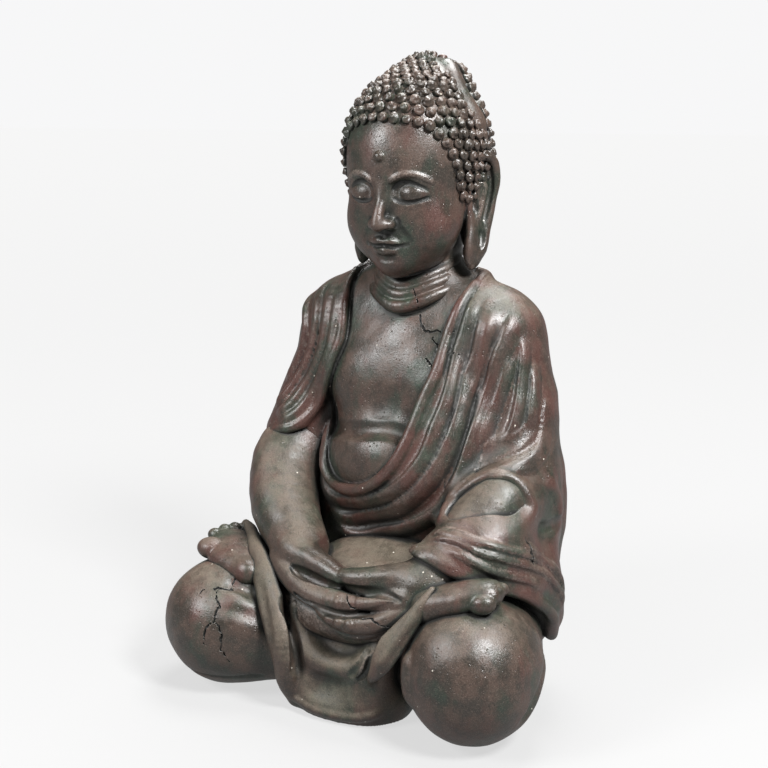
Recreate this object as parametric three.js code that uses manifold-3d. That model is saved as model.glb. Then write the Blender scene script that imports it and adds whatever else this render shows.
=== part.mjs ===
// A seated, meditating Buddha: a garden figure cast in one piece, with hands joined in the lap.
// Millimetres, +Z up. The figure faces -Y, its own left side is +X, and the origin is at the
// middle of the flat underside. The form is a field of distances, blended from simple bodies,
// which is turned into a closed skin and then thinned to a modest number of triangles.
import * as THREE from "three";
import { triTable } from "three/addons/objects/MarchingCubes.js";
import { mergeVertices } from "three/addons/utils/BufferGeometryUtils.js";
import Module from "manifold-3d";

// Driving dimensions
const CELL = 4; // edge of one cell of the grid that samples the field
const TRIANGLES = 9400; // triangles kept in the finished skin

// Heights above the underside
const CHIN_Z = 468;
const BROW_Z = 575;
const NOSE_Z = 522;
const MOUTH_Z = 503;
const EYE_Z = 561;
const HAIRLINE_Z = 628;

// Toolkit: distances and how they join

const { sqrt, abs, min, max, hypot, sin, cos, PI } = Math;
const clamp = (v, lo, hi) => (v < lo ? lo : v > hi ? hi : v);
const smooth = (v) => {
  const t = clamp(v, 0, 1);
  return t * t * (3 - 2 * t);
};
const radians = (degrees) => (degrees * PI) / 180;

function softMin(a, b, k) {
  const h = max(k - abs(a - b), 0);
  return min(a, b) - (h * h) / (4 * k);
}
const softMax = (a, b, k) => -softMin(-a, -b, k);

// A body is a distance function with a ball round it, so that distant bodies are skipped.
const body = (at, centre, reach) => ({ at, x: centre[0], y: centre[1], z: centre[2], reach });

function blend(k, ...bodies) {
  return (x, y, z) => {
    let d = 1e9;
    for (const b of bodies) {
      const away = hypot(x - b.x, y - b.y, z - b.z) - b.reach;
      if (away < d + k) d = softMin(d, b.at(x, y, z), k);
    }
    return d;
  };
}

// Turns a point into a body's own frame: centre and Euler angles in degrees.
function frameOf(centre, turn) {
  const m = new THREE.Matrix4()
    .makeRotationFromEuler(new THREE.Euler(...turn.map(radians), "XYZ"))
    .transpose().elements;
  const [cx, cy, cz] = centre;
  return (x, y, z) => {
    const [a, b, c] = [x - cx, y - cy, z - cz];
    return [
      m[0] * a + m[4] * b + m[8] * c,
      m[1] * a + m[5] * b + m[9] * c,
      m[2] * a + m[6] * b + m[10] * c,
    ];
  };
}

function egg(centre, radii, turn = [0, 0, 0]) {
  const local = frameOf(centre, turn);
  const [rx, ry, rz] = radii;
  const least = min(rx, ry, rz);
  const at = (x, y, z) => {
    const [a, b, c] = local(x, y, z);
    const near = hypot(a / rx, b / ry, c / rz);
    const steep = hypot(a / (rx * rx), b / (ry * ry), c / (rz * rz));
    if (near < 1e-6) return -least;
    return max((near * (near - 1)) / steep, near < 1 ? least * (near - 1) : 0);
  };
  return body(at, centre, max(rx, ry, rz));
}

const ball = (centre, r) =>
  body((x, y, z) => hypot(x - centre[0], y - centre[1], z - centre[2]) - r, centre, r);

// Samples a smooth curve through points [x, y, z, ...sizes] into straight steps.
function trace(points, steps = 3) {
  const n = (points.length - 1) * steps;
  const curve = new THREE.CatmullRomCurve3(
    points.map(([x, y, z]) => new THREE.Vector3(x, y, z)),
    false,
    "centripetal",
  );
  const sizes = points[0].slice(3).map((_, k) => points.map((p) => p[3 + k]));
  return Array.from({ length: n + 1 }, (_, i) => {
    const t = i / n;
    const p = curve.getPoint(t);
    const s = t * (points.length - 1);
    const j = min(Math.floor(s), points.length - 2);
    return [p.x, p.y, p.z, ...sizes.map((v) => v[j] + (v[j + 1] - v[j]) * (s - j))];
  });
}

function ballRound(path, grow) {
  const centre = [0, 1, 2].map((k) => path.reduce((s, p) => s + p[k], 0) / path.length);
  const reach = max(...path.map((p) => hypot(p[0] - centre[0], p[1] - centre[1], p[2] - centre[2])));
  return [centre, reach + grow];
}

// The nearest point of a path: its distance, how far along it lies from 0 to 1, and its sizes.
function nearest(path, x, y, z, out) {
  let best = 1e18;
  const n = path.length - 1;
  for (let i = 0; i < n; i++) {
    const a = path[i];
    const b = path[i + 1];
    const [ux, uy, uz] = [b[0] - a[0], b[1] - a[1], b[2] - a[2]];
    const [vx, vy, vz] = [x - a[0], y - a[1], z - a[2]];
    const t = clamp((ux * vx + uy * vy + uz * vz) / (ux * ux + uy * uy + uz * uz), 0, 1);
    const [dx, dy, dz] = [vx - ux * t, vy - uy * t, vz - uz * t];
    const d2 = dx * dx + dy * dy + dz * dz;
    if (d2 < best) {
      best = d2;
      out.along = (i + t) / n;
      out.size = a[3] + (b[3] - a[3]) * t;
      out.thick = a[4] + (b[4] - a[4]) * t;
      out.dx = dx;
      out.dy = dy;
      out.dz = dz;
    }
  }
  out.d = sqrt(best);
  return out;
}

// A round limb along points [x, y, z, radius].
function limb(points, steps = 3) {
  const path = trace(points, steps);
  const found = {};
  const at = (x, y, z) => {
    nearest(path, x, y, z, found);
    return found.d - found.size;
  };
  return body(at, ...ballRound(path, max(...points.map((p) => p[3]))));
}

// A flat band of cloth along points [x, y, z, half width, half thickness]; face is its normal.
function band(points, face, steps = 3) {
  const path = trace(points, steps);
  const f = new THREE.Vector3(...face).normalize();
  const found = {};
  const at = (x, y, z) => {
    nearest(path, x, y, z, found);
    const out = found.dx * f.x + found.dy * f.y + found.dz * f.z;
    const wide = sqrt(max(found.d * found.d - out * out, 0));
    const ratio = found.thick / found.size;
    return (hypot(wide, out / ratio) - found.size) * min(1, ratio * 1.6);
  };
  return body(at, ...ballRound(path, max(...points.map((p) => p[3]))));
}

// A mark is a ridge (height above 0) or a groove (below 0) drawn on a surface along a path,
// fading towards both ends.
function mark(points, width, height, onto, fade = 0.15, steps = 3) {
  const path = trace(points.map((p) => [...p.slice(0, 3), width]), steps);
  for (const p of path) settle(p, onto);
  const [centre, reach] = ballRound(path, width);
  const found = {};
  const at = (x, y, z) => {
    if (hypot(x - centre[0], y - centre[1], z - centre[2]) > reach) return 0;
    nearest(path, x, y, z, found);
    const s = found.d / width;
    if (s >= 1) return 0;
    const ends = smooth(found.along / fade) * smooth((1 - found.along) / fade);
    return height * ends * (1 - s * s) ** 2;
  };
  return { at };
}

// Moves a point along the field's slope on to the surface.
function settle(p, onto) {
  const e = 0.5;
  for (let i = 0; i < 8; i++) {
    const d = onto(p[0], p[1], p[2]);
    const g = [
      onto(p[0] + e, p[1], p[2]) - d,
      onto(p[0], p[1] + e, p[2]) - d,
      onto(p[0], p[1], p[2] + e) - d,
    ].map((v) => v / e);
    const steep = max(g[0] ** 2 + g[1] ** 2 + g[2] ** 2, 0.2);
    for (let k = 0; k < 3; k++) p[k] -= (d * g[k]) / steep;
    if (abs(d) < 0.05) break;
  }
}

const mirrored = (p) => [-p[0], ...p.slice(1)];
const both = (make, points, ...rest) => [
  make(points, ...rest),
  make(points.map(mirrored), ...rest),
];

// Interpolates between two guide paths with the same number of points.
const between = (a, b, t) => a.map((p, i) => p.map((v, k) => v + (b[i][k] - v) * t));

// The form, from the head down

// Head: skull and face nod a little towards the lap
const NOD = 5;
const NOD_PIVOT_Z = 540;
const HEAD_BACK = 3; // the head sits this far behind the plane of the navel
const nodTurn = frameOf([0, 0, 0], [NOD, 0, 0]);

// A body drawn with its head upright, then nodded and set back on the neck
function nodding(at, centre, reach) {
  const turned = (x, y, z) => {
    const [a, b, c] = nodTurn(x, y - HEAD_BACK, z - NOD_PIVOT_Z);
    return at(a, b, c + NOD_PIVOT_Z);
  };
  return body(turned, centre, reach);
}
const setBack = (at, centre, reach) => body((x, y, z) => at(x, y - HEAD_BACK, z), centre, reach);

const skull = blend(
  20,
  egg([0, -2, 590], [73, 82, 83]),
  egg([0, -24, 546], [61, 58, 78]),
  egg([0, -36, 502], [45, 40, 32]),
  ball([0, -62, 484], 15),
  ball([33, -41, 520], 28),
  ball([-33, -41, 520], 28),
);
const eyes = blend(2, ball([26, -64, EYE_Z - 4], 15), ball([-26, -64, EYE_Z - 4], 15));
const nose = blend(
  5,
  limb([[0, -72, BROW_Z - 4, 7], [0, -86, 548, 7], [0, -94, NOSE_Z + 9, 9]]),
  ball([10, -84, NOSE_Z + 6], 6.5),
  ball([-10, -84, NOSE_Z + 6], 6.5),
);
const lips = blend(
  3,
  limb([[-20, -72, MOUTH_Z + 2, 3], [0, -83, MOUTH_Z + 4, 4.5], [20, -72, MOUTH_Z + 2, 3]]),
  limb([[-15, -73, MOUTH_Z - 4, 3], [0, -81, MOUTH_Z - 5, 5], [15, -73, MOUTH_Z - 4, 3]]),
);
const urna = ball([0, -82, 594], 5);
const faceMarks = [
  ...both(mark, [[10, -80, 562], [24, -74, 570], [40, -64, 568], [52, -50, 556]], 9, -4, skull),
  ...both(mark, [[6, -82, 566], [22, -78, 579], [40, -66, 578], [54, -48, 566]], 6, 2.5, skull),
  mark([[-23, -70, MOUTH_Z], [0, -84, MOUTH_Z - 1], [23, -70, MOUTH_Z]], 3.5, -3, skull),
];
const face = nodding(
  (x, y, z) => {
    let d = skull(x, y, z);
    for (const m of faceMarks) d -= m.at(x, y, z);
    d = softMin(d, eyes(x, y, z), 4);
    d = softMin(d, nose(x, y, z), 9);
    d = softMin(d, lips(x, y, z), 4);
    return softMin(d, urna.at(x, y, z), 3);
  },
  [0, -4, 570],
  125,
);

// Long ears with heavy lobes, shaped on the figure's left and mirrored
const earShape = blend(
  4,
  limb([
    [62, -12, 556, 5],
    [67, -8, 576, 5.5],
    [73, 4, 587, 6],
    [78, 16, 580, 6],
    [79, 18, 560, 5.5],
    [76, 13, 535, 5.5],
    [72, 6, 508, 7],
    [69, 0, 486, 9],
    [67, -3, 479, 8],
  ]),
  limb([[63, -10, 550, 5], [65, -6, 528, 5], [66, -6, 505, 6], [66, -6, 486, 8]]),
  egg([69, 3, 556], [7, 11, 26]),
  egg([68, 0, 502], [6, 9, 32]),
  egg([58, 8, 530], [14, 11, 54]),
);
const ears = setBack((x, y, z) => earShape(abs(x), y, z), [0, 10, 532], 105);

// Hair: a cap that ends at the hairline, and the raised crown
const cap = egg([0, -3, 591], [82, 90, 93]);
const crown = egg([0, 22, 651], [51, 50, 49]);
const hairline = [
  [0, -90, 628],
  [28, -86, 626],
  [50, -68, 616],
  [60, -52, 598],
  [63, -38, 575],
  [64, -26, 545],
  [70, -8, 540],
  [74, 12, 548],
  [74, 30, 530],
  [62, 60, 512],
  [0, 80, 506],
];

// Height of the hairline for a direction round the head, measured from the face.
function hairlineAt(x, y) {
  const bearing = Math.atan2(abs(x), -y);
  for (let i = 1; i < hairline.length; i++) {
    const [x0, y0, z0] = hairline[i - 1];
    const [x1, y1, z1] = hairline[i];
    const from = Math.atan2(x0, -y0);
    const to = Math.atan2(x1, -y1);
    if (bearing <= to || i === hairline.length - 1) {
      return z0 + (z1 - z0) * clamp((bearing - from) / (to - from), 0, 1);
    }
  }
  return 0;
}
const hair = setBack(
  (x, y, z) => {
    const under = (hairlineAt(x, y) - z) * 0.35;
    return softMin(softMax(cap.at(x, y, z), under, 3), crown.at(x, y, z), 12);
  },
  [0, 6, 605],
  110,
);

// Neck with three folds
const neck = limb([[0, 16, 520, 44], [0, 12, 470, 44], [0, 8, 425, 50]]);
const collar = (front, frontZ, side, sideZ) =>
  limb(
    [
      [side * 0.5, 44, sideZ + 10, 4],
      [side, 12, sideZ, 6],
      [side * 0.72, front * 0.55, (sideZ + frontZ) / 2, 7],
      [0, front, frontZ, 7.5],
      [-side * 0.72, front * 0.55, (sideZ + frontZ) / 2, 7],
      [-side, 12, sideZ, 6],
      [-side * 0.5, 44, sideZ + 10, 4],
    ],
    4,
  );
const neckFolds = [collar(-35, 451, 42, 474), collar(-40, 440, 47, 465), collar(-45, 428, 53, 454)];

// Trunk
const trunk = blend(
  30,
  egg([0, 8, 352], [102, 70, 92]),
  egg([0, -16, 258], [90, 80, 74]),
  egg([0, 14, 200], [124, 80, 130]),
  egg([0, 4, 95], [132, 94, 100]),
  limb([[-98, 12, 392, 38], [0, 14, 400, 42], [98, 12, 394, 37]]),
  limb([[0, 15, 456, 38], [84, 12, 410, 32]]),
  limb([[0, 15, 458, 39], [-84, 12, 412, 32]]),
);
const rightUpperArm = limb([[-98, 12, 390, 38], [-117, 4, 330, 41], [-134, -18, 264, 42]]);
const leftUpperArm = limb([[98, 12, 392, 37], [116, 6, 330, 42], [124, -18, 262, 42]]);
const rightForearm = limb([
  [-136, -20, 262, 42],
  [-143, -48, 234, 43],
  [-120, -90, 196, 39],
  [-76, -126, 166, 31],
]);
const leftForearm = limb([
  [122, -20, 262, 36],
  [134, -54, 240, 37],
  [120, -94, 206, 35],
  [88, -132, 166, 28],
]);

// Hands in the lap, thumbs touching
const rightHand = blend(
  6,
  egg([-64, -140, 150], [32, 24, 20], [0, 25, -25]),
  limb([[-80, -122, 176, 13], [-50, -148, 171, 12.5], [-22, -164, 164, 10], [0, -168, 161, 8.5]]),
  limb([[-82, -146, 150, 13], [-62, -164, 137, 12], [-36, -176, 129, 11], [0, -180, 129, 10.5], [20, -177, 131, 10]]),
  limb([[-66, -148, 134, 12], [-30, -162, 130, 12], [10, -166, 130, 11]]),
);
const leftHand = blend(
  6,
  egg([72, -146, 152], [32, 22, 20], [0, -15, 20]),
  limb([[88, -134, 168, 12], [56, -156, 168, 12], [28, -166, 165, 10], [5, -169, 162, 9]]),
  limb([[90, -150, 148, 13], [64, -166, 142, 12], [38, -172, 138, 10.5]]),
  limb([[80, -162, 128, 13], [50, -176, 120, 11], [20, -184, 116, 10.5], [-12, -184, 116, 10], [-30, -178, 118, 9]]),
);
const hands = (x, y, z) => min(rightHand(x, y, z), leftHand(x, y, z));

// Legs folded one over the other
const rightLeg = blend(
  14,
  egg([-161, -144, 84], [73, 73, 79]),
  limb([[-60, 10, 88, 80], [-114, -70, 88, 78], [-156, -130, 84, 71]]),
  limb([[-150, -150, 70, 56], [-80, -140, 70, 54], [0, -124, 66, 52]]),
);
const leftLeg = blend(
  14,
  egg([142, -150, 84], [70, 71, 78]),
  limb([[60, 10, 88, 80], [108, -70, 86, 78], [140, -132, 84, 70]]),
  limb([[140, -152, 70, 56], [80, -140, 70, 54], [0, -124, 66, 52]]),
);
const legs = (x, y, z) => softMin(rightLeg(x, y, z), leftLeg(x, y, z), 6);
const lap = egg([0, -78, 108], [150, 104, 44]);

// Feet, soles up, resting on the opposite thighs
const toes = (list) => list.map((p) => egg(p.slice(0, 3), [p[3] * 1.3, p[3], p[3]]));
const leftFoot = blend(
  5,
  egg([-156, -120, 138], [56, 30, 20], [0, 6, -18]),
  ball([-118, -156, 138], 14),
  ...toes([
    [-202, -126, 144, 13],
    [-200, -108, 151, 9.5],
    [-194, -96, 154, 9],
    [-187, -85, 156, 8.5],
    [-180, -75, 157, 8],
  ]),
);
const rightFoot = blend(
  5,
  limb([[94, -172, 126, 14], [116, -168, 140, 20], [140, -158, 150, 19], [158, -148, 154, 15]]),
  ...toes([
    [164, -160, 154, 12],
    [172, -148, 160, 9],
    [178, -137, 162, 8.5],
    [182, -127, 162, 8],
    [184, -118, 161, 7],
  ]),
);

// Apron of cloth that falls from the lap to the ground, with a strip of hem at each side
const apron = blend(
  8,
  band(
    [
      [-6, -158, 70, 60, 17],
      [-6, -166, 40, 64, 17],
      [-4, -162, -10, 58, 19],
    ],
    [0, -1, 0.3],
  ),
  egg([-3, -140, 26], [74, 44, 44]),
  limb([
    [-152, -92, 156, 10],
    [-132, -124, 150, 10],
    [-100, -158, 126, 10],
    [-78, -174, 92, 11],
    [-68, -178, 56, 12],
    [-62, -170, 10, 14],
  ]),
  limb([[98, -152, 146, 8], [88, -174, 118, 9], [72, -182, 84, 10], [52, -178, 44, 10], [46, -164, 4, 11]]),
);

// Robe: a layer over the left side and the back, open over the chest and belly
const opening = [
  [-95, 520],
  [-100, 420],
  [-95, 350],
  [-92, 290],
  [-82, 245],
  [-66, 228],
  [-42, 226],
  [-14, 236],
  [15, 254],
  [31, 278],
  [38, 305],
  [46, 336],
  [53, 366],
  [60, 402],
  [66, 429],
  [72, 456],
  [76, 520],
];

function insidePolygon(points, x, z) {
  let d2 = 1e18;
  let sign = 1;
  for (let i = 0, j = points.length - 1; i < points.length; j = i++) {
    const [ax, az] = points[i];
    const [bx, bz] = points[j];
    const [ex, ez] = [bx - ax, bz - az];
    const [wx, wz] = [x - ax, z - az];
    const t = clamp((wx * ex + wz * ez) / (ex * ex + ez * ez), 0, 1);
    d2 = min(d2, (wx - ex * t) ** 2 + (wz - ez * t) ** 2);
    const above = [z >= az, z < bz, ex * wz > ez * wx];
    if (above.every((v) => v) || above.every((v) => !v)) sign = -sign;
  }
  return sign * sqrt(d2);
}

const draped = blend(
  26,
  body(trunk, [0, 0, 250], 270),
  leftUpperArm,
  egg([44, -36, 262], [66, 52, 84]),
);
const neckline = [
  [70, 4, 464],
  [68, -31, 429],
  [62, -42, 402],
  [55, -53, 363],
  [46, -60, 332],
  [40, -72, 303],
  [30, -90, 274],
  [12, -102, 250],
  [-16, -101, 232],
  [-46, -92, 224],
  [-74, -74, 232],
  [-90, -50, 270],
];
const hemline = [
  [118, 6, 452],
  [116, -31, 412],
  [108, -42, 366],
  [100, -48, 326],
  [90, -56, 286],
  [76, -70, 244],
  [56, -84, 210],
  [24, -88, 186],
  [-10, -88, 178],
  [-42, -86, 176],
  [-72, -74, 184],
  [-96, -40, 200],
];
const ROBE = 6; // thickness of the robe
const overDraped = (x, y, z) => draped(x, y, z) - ROBE;
const fold = (path, width, height) => mark(path, width, height, overDraped, 0.1);
const robeFolds = [
  fold(between(neckline, hemline, 0.08), 12, 12),
  fold(between(neckline, hemline, 0.4), 12, 12),
  fold(between(neckline, hemline, 0.7), 12, 12),
  fold(hemline, 15, 16),
];
const robe = body(
  (x, y, z) => {
    const front = max(insidePolygon(opening, x, z), y - 20);
    const throat = max(hypot(x, y - 12) - 62, 425 - z);
    let d = overDraped(x, y, z);
    for (const fold of robeFolds) d -= fold.at(x, y, z);
    return softMax(d, -min(front, throat), 3);
  },
  [0, 0, 250],
  300,
);

// Shawl over the right shoulder
const shawlArea = [
  [-70, 540],
  [-77, 442],
  [-70, 415],
  [-67, 386],
  [-77, 356],
  [-96, 308],
  [-112, 282],
  [-133, 274],
  [-170, 268],
  [-290, 262],
  [-290, 540],
];
const shoulderAndArm = blend(24, body(trunk, [0, 0, 250], 270), rightUpperArm);
const SHAWL = 8; // thickness of the shawl
const overShoulder = (x, y, z) => shoulderAndArm(x, y, z) - SHAWL;
const shawlEdge = [
  [-76, 4, 456],
  [-74, -30, 415],
  [-72, -46, 386],
  [-82, -50, 352],
  [-101, -50, 312],
  [-118, -60, 286],
  [-146, -66, 278],
  [-176, -50, 274],
];
const shawlFolds = [
  mark(shawlEdge.map(([x, y, z]) => [x - 5, y, z + 5]), 12, 10, overShoulder, 0.1),
  mark(shawlEdge.map(([x, y, z]) => [x - 19, y, z + 19]), 11, 10, overShoulder),
  mark(shawlEdge.map(([x, y, z]) => [x - 34, y, z + 34]), 11, 10, overShoulder),
];
const shawl = body(
  (x, y, z) => {
    const area = insidePolygon(shawlArea, x, z);
    let d = overShoulder(x, y, z);
    for (const fold of shawlFolds) d -= fold.at(x, y, z);
    return softMax(d, area, 3);
  },
  [-110, 0, 350],
  190,
);

// Left sleeve: a heavy drape from the shoulder to the ground behind the knee. Its mouth leaves
// the elbow bare, and its hem hangs clear of the knee.
const sleeveMass = blend(
  20,
  limb([[100, 14, 392, 37], [118, 8, 330, 46], [124, 0, 250, 49], [132, 6, 150, 43], [146, 6, 72, 37]]),
  limb([[128, -24, 240, 50], [128, -80, 196, 47], [104, -124, 166, 36]]),
);
const mouth = egg([134, -94, 246], [42, 38, 26], [12, 4, 0]);
const mouthRim = limb(
  [
    [92, -84, 236, 6],
    [104, -82, 254, 6.5],
    [130, -78, 268, 7],
    [152, -68, 266, 7],
    [164, -66, 250, 7],
    [160, -80, 230, 7],
    [138, -102, 214, 7],
    [108, -112, 212, 6],
  ],
  4,
);
const HEM_SLOPE = [0.1645, 0.46, 0.873];
const HEM_OFFSET = 115;
const sleeve = body(
  (x, y, z) => {
    const underHem = HEM_OFFSET - (HEM_SLOPE[0] * x + HEM_SLOPE[1] * y + HEM_SLOPE[2] * z);
    const kept = softMin(underHem, 0.9 * (6 - y) + 0.2 * (120 - z), 10);
    const opened = softMax(softMax(sleeveMass(x, y, z), kept, 3), -mouth.at(x, y, z), 4);
    return softMin(opened, mouthRim.at(x, y, z), 6);
  },
  [130, -30, 220],
  260,
);

const figure = blend(
  3,
  face,
  ears,
  hair,
  neck,
  ...neckFolds,
  body(trunk, [0, 0, 250], 270),
  robe,
  shawl,
  rightUpperArm,
  rightForearm,
  leftForearm,
  sleeve,
  body(hands, [0, -155, 150], 130),
  body(legs, [0, -60, 80], 262),
  lap,
  body(leftFoot, [-155, -115, 145], 85),
  body(rightFoot, [140, -140, 145], 85),
  body(apron, [0, -150, 60], 190),
);

// Skin: samples the field and keeps the outer surface

function polygonise(field, low, high, cell) {
  const [nx, ny, nz] = low.map((v, k) => Math.ceil((high[k] - v) / cell) + 1);
  const [stepY, stepZ] = [nx, nx * ny];
  const samples = new Float32Array(nx * ny * nz).fill(NaN);
  const sample = (i, j, k) => {
    const q = i + j * stepY + k * stepZ;
    if (Number.isNaN(samples[q])) {
      samples[q] = field(low[0] + i * cell, low[1] + j * cell, low[2] + k * cell);
    }
    return samples[q];
  };
  // Two corner offsets for each of the twelve edges of a cell
  const corners = [[0, 0, 0], [1, 0, 0], [1, 1, 0], [0, 1, 0], [0, 0, 1], [1, 0, 1], [1, 1, 1], [0, 1, 1]];
  const edges = [[0, 1], [1, 2], [3, 2], [0, 3], [4, 5], [5, 6], [7, 6], [4, 7], [0, 4], [1, 5], [2, 6], [3, 7]];
  const points = [];
  const faces = [];
  const known = new Map();

  function crossing(i, j, k, edge) {
    const [a, b] = edges[edge].map((c) => corners[c]);
    const q = i + a[0] + (j + a[1]) * stepY + (k + a[2]) * stepZ;
    const axis = b[0] - a[0] ? 0 : b[1] - a[1] ? 1 : 2;
    const key = q * 3 + axis;
    if (!known.has(key)) {
      const p = sample(i + a[0], j + a[1], k + a[2]);
      const r = sample(i + b[0], j + b[1], k + b[2]);
      const t = clamp(p / (p - r), 0.04, 0.96);
      const at = [i + a[0], j + a[1], k + a[2]];
      at[axis] += t;
      known.set(key, points.length);
      points.push(at.map((v, n) => low[n] + v * cell));
    }
    return known.get(key);
  }

  function fillCell(i, j, k) {
    let code = 0;
    corners.forEach(([a, b, c], n) => {
      if (sample(i + a, j + b, k + c) > 0) code |= 1 << n;
    });
    for (let n = code * 16; triTable[n] >= 0; n += 3) {
      faces.push([0, 1, 2].map((m) => crossing(i, j, k, triTable[n + m])));
    }
  }

  // Skips whole blocks that lie clear of the surface
  function search(i0, j0, k0, size) {
    const centre = [i0, j0, k0].map((v, n) => low[n] + (v + size / 2) * cell);
    if (abs(field(...centre)) > (size + 2) * cell) return;
    const next = size === 8 ? 2 : 1;
    for (let i = i0; i < min(i0 + size, nx - 1); i += next) {
      for (let j = j0; j < min(j0 + size, ny - 1); j += next) {
        for (let k = k0; k < min(k0 + size, nz - 1); k += next) {
          if (next === 1) fillCell(i, j, k);
          else search(i, j, k, next);
        }
      }
    }
  }
  for (let i = 0; i < nx - 1; i += 8) {
    for (let j = 0; j < ny - 1; j += 8) {
      for (let k = 0; k < nz - 1; k += 8) search(i, j, k, 8);
    }
  }
  return { points, faces };
}

// Drops closed pockets inside the body, keeping the largest connected skin.
function outerSkin({ points, faces }) {
  const parent = points.map((_, i) => i);
  const root = (i) => {
    while (parent[i] !== i) {
      parent[i] = parent[parent[i]];
      i = parent[i];
    }
    return i;
  };
  for (const [a, b, c] of faces) {
    parent[root(a)] = root(b);
    parent[root(b)] = root(c);
  }
  const count = new Map();
  for (const f of faces) count.set(root(f[0]), (count.get(root(f[0])) ?? 0) + 1);
  const [largest] = [...count].sort((p, q) => q[1] - p[1])[0];
  return { points, faces: faces.filter((f) => root(f[0]) === largest) };
}

// Thinning: joins the pair of neighbours whose loss moves the surface least

function thin({ points, faces }, target, careAt) {
  const n = points.length;
  const quadrics = Array.from({ length: n }, () => new Float64Array(10));
  const around = Array.from({ length: n }, () => new Set());
  const version = new Int32Array(n);
  const alive = new Uint8Array(faces.length).fill(1);
  let left = faces.length;

  const normalOf = (a, b, c) => {
    const [ux, uy, uz] = [b[0] - a[0], b[1] - a[1], b[2] - a[2]];
    const [vx, vy, vz] = [c[0] - a[0], c[1] - a[1], c[2] - a[2]];
    return [uy * vz - uz * vy, uz * vx - ux * vz, ux * vy - uy * vx];
  };
  faces.forEach((f, i) => {
    const [a, b, c] = f.map((v) => points[v]);
    const m = normalOf(a, b, c);
    const area = hypot(...m);
    if (area > 1e-9) {
      const [p, q, r] = m.map((v) => v / area);
      const s = -(p * a[0] + q * a[1] + r * a[2]);
      const w = area * careAt(a);
      const add = [p * p, p * q, p * r, p * s, q * q, q * r, q * s, r * r, r * s, s * s];
      for (const v of f) add.forEach((value, k) => (quadrics[v][k] += value * w));
    }
    for (const v of f) around[v].add(i);
  });

  const costAt = (q, [x, y, z]) =>
    q[0] * x * x + 2 * q[1] * x * y + 2 * q[2] * x * z + 2 * q[3] * x + q[4] * y * y +
    2 * q[5] * y * z + 2 * q[6] * y + q[7] * z * z + 2 * q[8] * z + q[9];

  // The best place for the joined point, or the middle where the surface is flat
  function bestPlace(q, a, b) {
    const middle = a.map((v, k) => (v + b[k]) / 2);
    const soft = 1e-3 * (q[0] + q[4] + q[7]) + 1e-9;
    const [m00, m11, m22] = [q[0] + soft, q[4] + soft, q[7] + soft];
    const r = [
      soft * middle[0] - q[3],
      soft * middle[1] - q[6],
      soft * middle[2] - q[8],
    ];
    const c00 = m11 * m22 - q[5] * q[5];
    const c01 = q[2] * q[5] - q[1] * m22;
    const c02 = q[1] * q[5] - q[2] * m11;
    const det = m00 * c00 + q[1] * c01 + q[2] * c02;
    const c11 = m00 * m22 - q[2] * q[2];
    const c12 = q[1] * q[2] - m00 * q[5];
    const c22 = m00 * m11 - q[1] * q[1];
    return [
      (c00 * r[0] + c01 * r[1] + c02 * r[2]) / det,
      (c01 * r[0] + c11 * r[1] + c12 * r[2]) / det,
      (c02 * r[0] + c12 * r[1] + c22 * r[2]) / det,
    ];
  }

  const heap = [];
  const above = (i) => (i - 1) >> 1;
  function push(item) {
    let i = heap.push(item) - 1;
    while (i > 0 && heap[above(i)].cost > heap[i].cost) {
      [heap[i], heap[above(i)]] = [heap[above(i)], heap[i]];
      i = above(i);
    }
  }
  function pop() {
    const top = heap[0];
    const last = heap.pop();
    if (heap.length) {
      heap[0] = last;
      let i = 0;
      for (;;) {
        let least = i;
        for (const c of [2 * i + 1, 2 * i + 2]) {
          if (c < heap.length && heap[c].cost < heap[least].cost) least = c;
        }
        if (least === i) break;
        [heap[i], heap[least]] = [heap[least], heap[i]];
        i = least;
      }
    }
    return top;
  }
  function propose(a, b) {
    const q = quadrics[a].map((v, k) => v + quadrics[b][k]);
    const place = bestPlace(q, points[a], points[b]);
    const stretch = hypot(...points[a].map((v, k) => v - points[b][k]));
    const cost = costAt(q, place) + 1e-3 * stretch * stretch;
    push({ cost, a, b, place, stamp: version[a] + version[b] });
  }
  const neighbours = (v) => {
    const out = new Set();
    for (const f of around[v]) faces[f].forEach((u) => out.add(u));
    out.delete(v);
    return out;
  };

  // A join is refused where it would fold a triangle over or pinch the skin
  function allowed({ a, b, place }) {
    const mine = neighbours(a);
    const shared = [...neighbours(b)].filter((v) => mine.has(v));
    if (shared.length !== 2) return false;
    for (const [from, other] of [[a, b], [b, a]]) {
      for (const f of around[from]) {
        if (faces[f].includes(other)) continue;
        const before = faces[f].map((v) => points[v]);
        const after = faces[f].map((v) => (v === from ? place : points[v]));
        const m = normalOf(...before);
        const w = normalOf(...after);
        const dot = m[0] * w[0] + m[1] * w[1] + m[2] * w[2];
        if (dot < 0.25 * hypot(...m) * hypot(...w)) return false;
      }
    }
    return true;
  }

  const pairs = new Set();
  for (const f of faces) {
    for (let k = 0; k < 3; k++) {
      const [a, b] = [f[k], f[(k + 1) % 3]];
      if (a < b) pairs.add(a * n + b);
    }
  }
  for (const pair of pairs) propose(Math.floor(pair / n), pair % n);

  while (left > target && heap.length) {
    const join = pop();
    const { a, b, place } = join;
    if (join.stamp !== version[a] + version[b] || !around[a].size || !around[b].size) continue;
    if (!allowed(join)) continue;
    points[a] = place;
    quadrics[b].forEach((v, k) => (quadrics[a][k] += v));
    for (const f of around[b]) {
      if (faces[f].includes(a)) {
        alive[f] = 0;
        left--;
        faces[f].forEach((v) => v !== b && around[v].delete(f));
      } else {
        faces[f] = faces[f].map((v) => (v === b ? a : v));
        around[a].add(f);
      }
    }
    around[b] = new Set();
    version[a] += 1;
    version[b] += 1;
    for (const v of neighbours(a)) propose(min(a, v), max(a, v));
  }
  return { points, faces: faces.filter((_, i) => alive[i]) };
}

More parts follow.
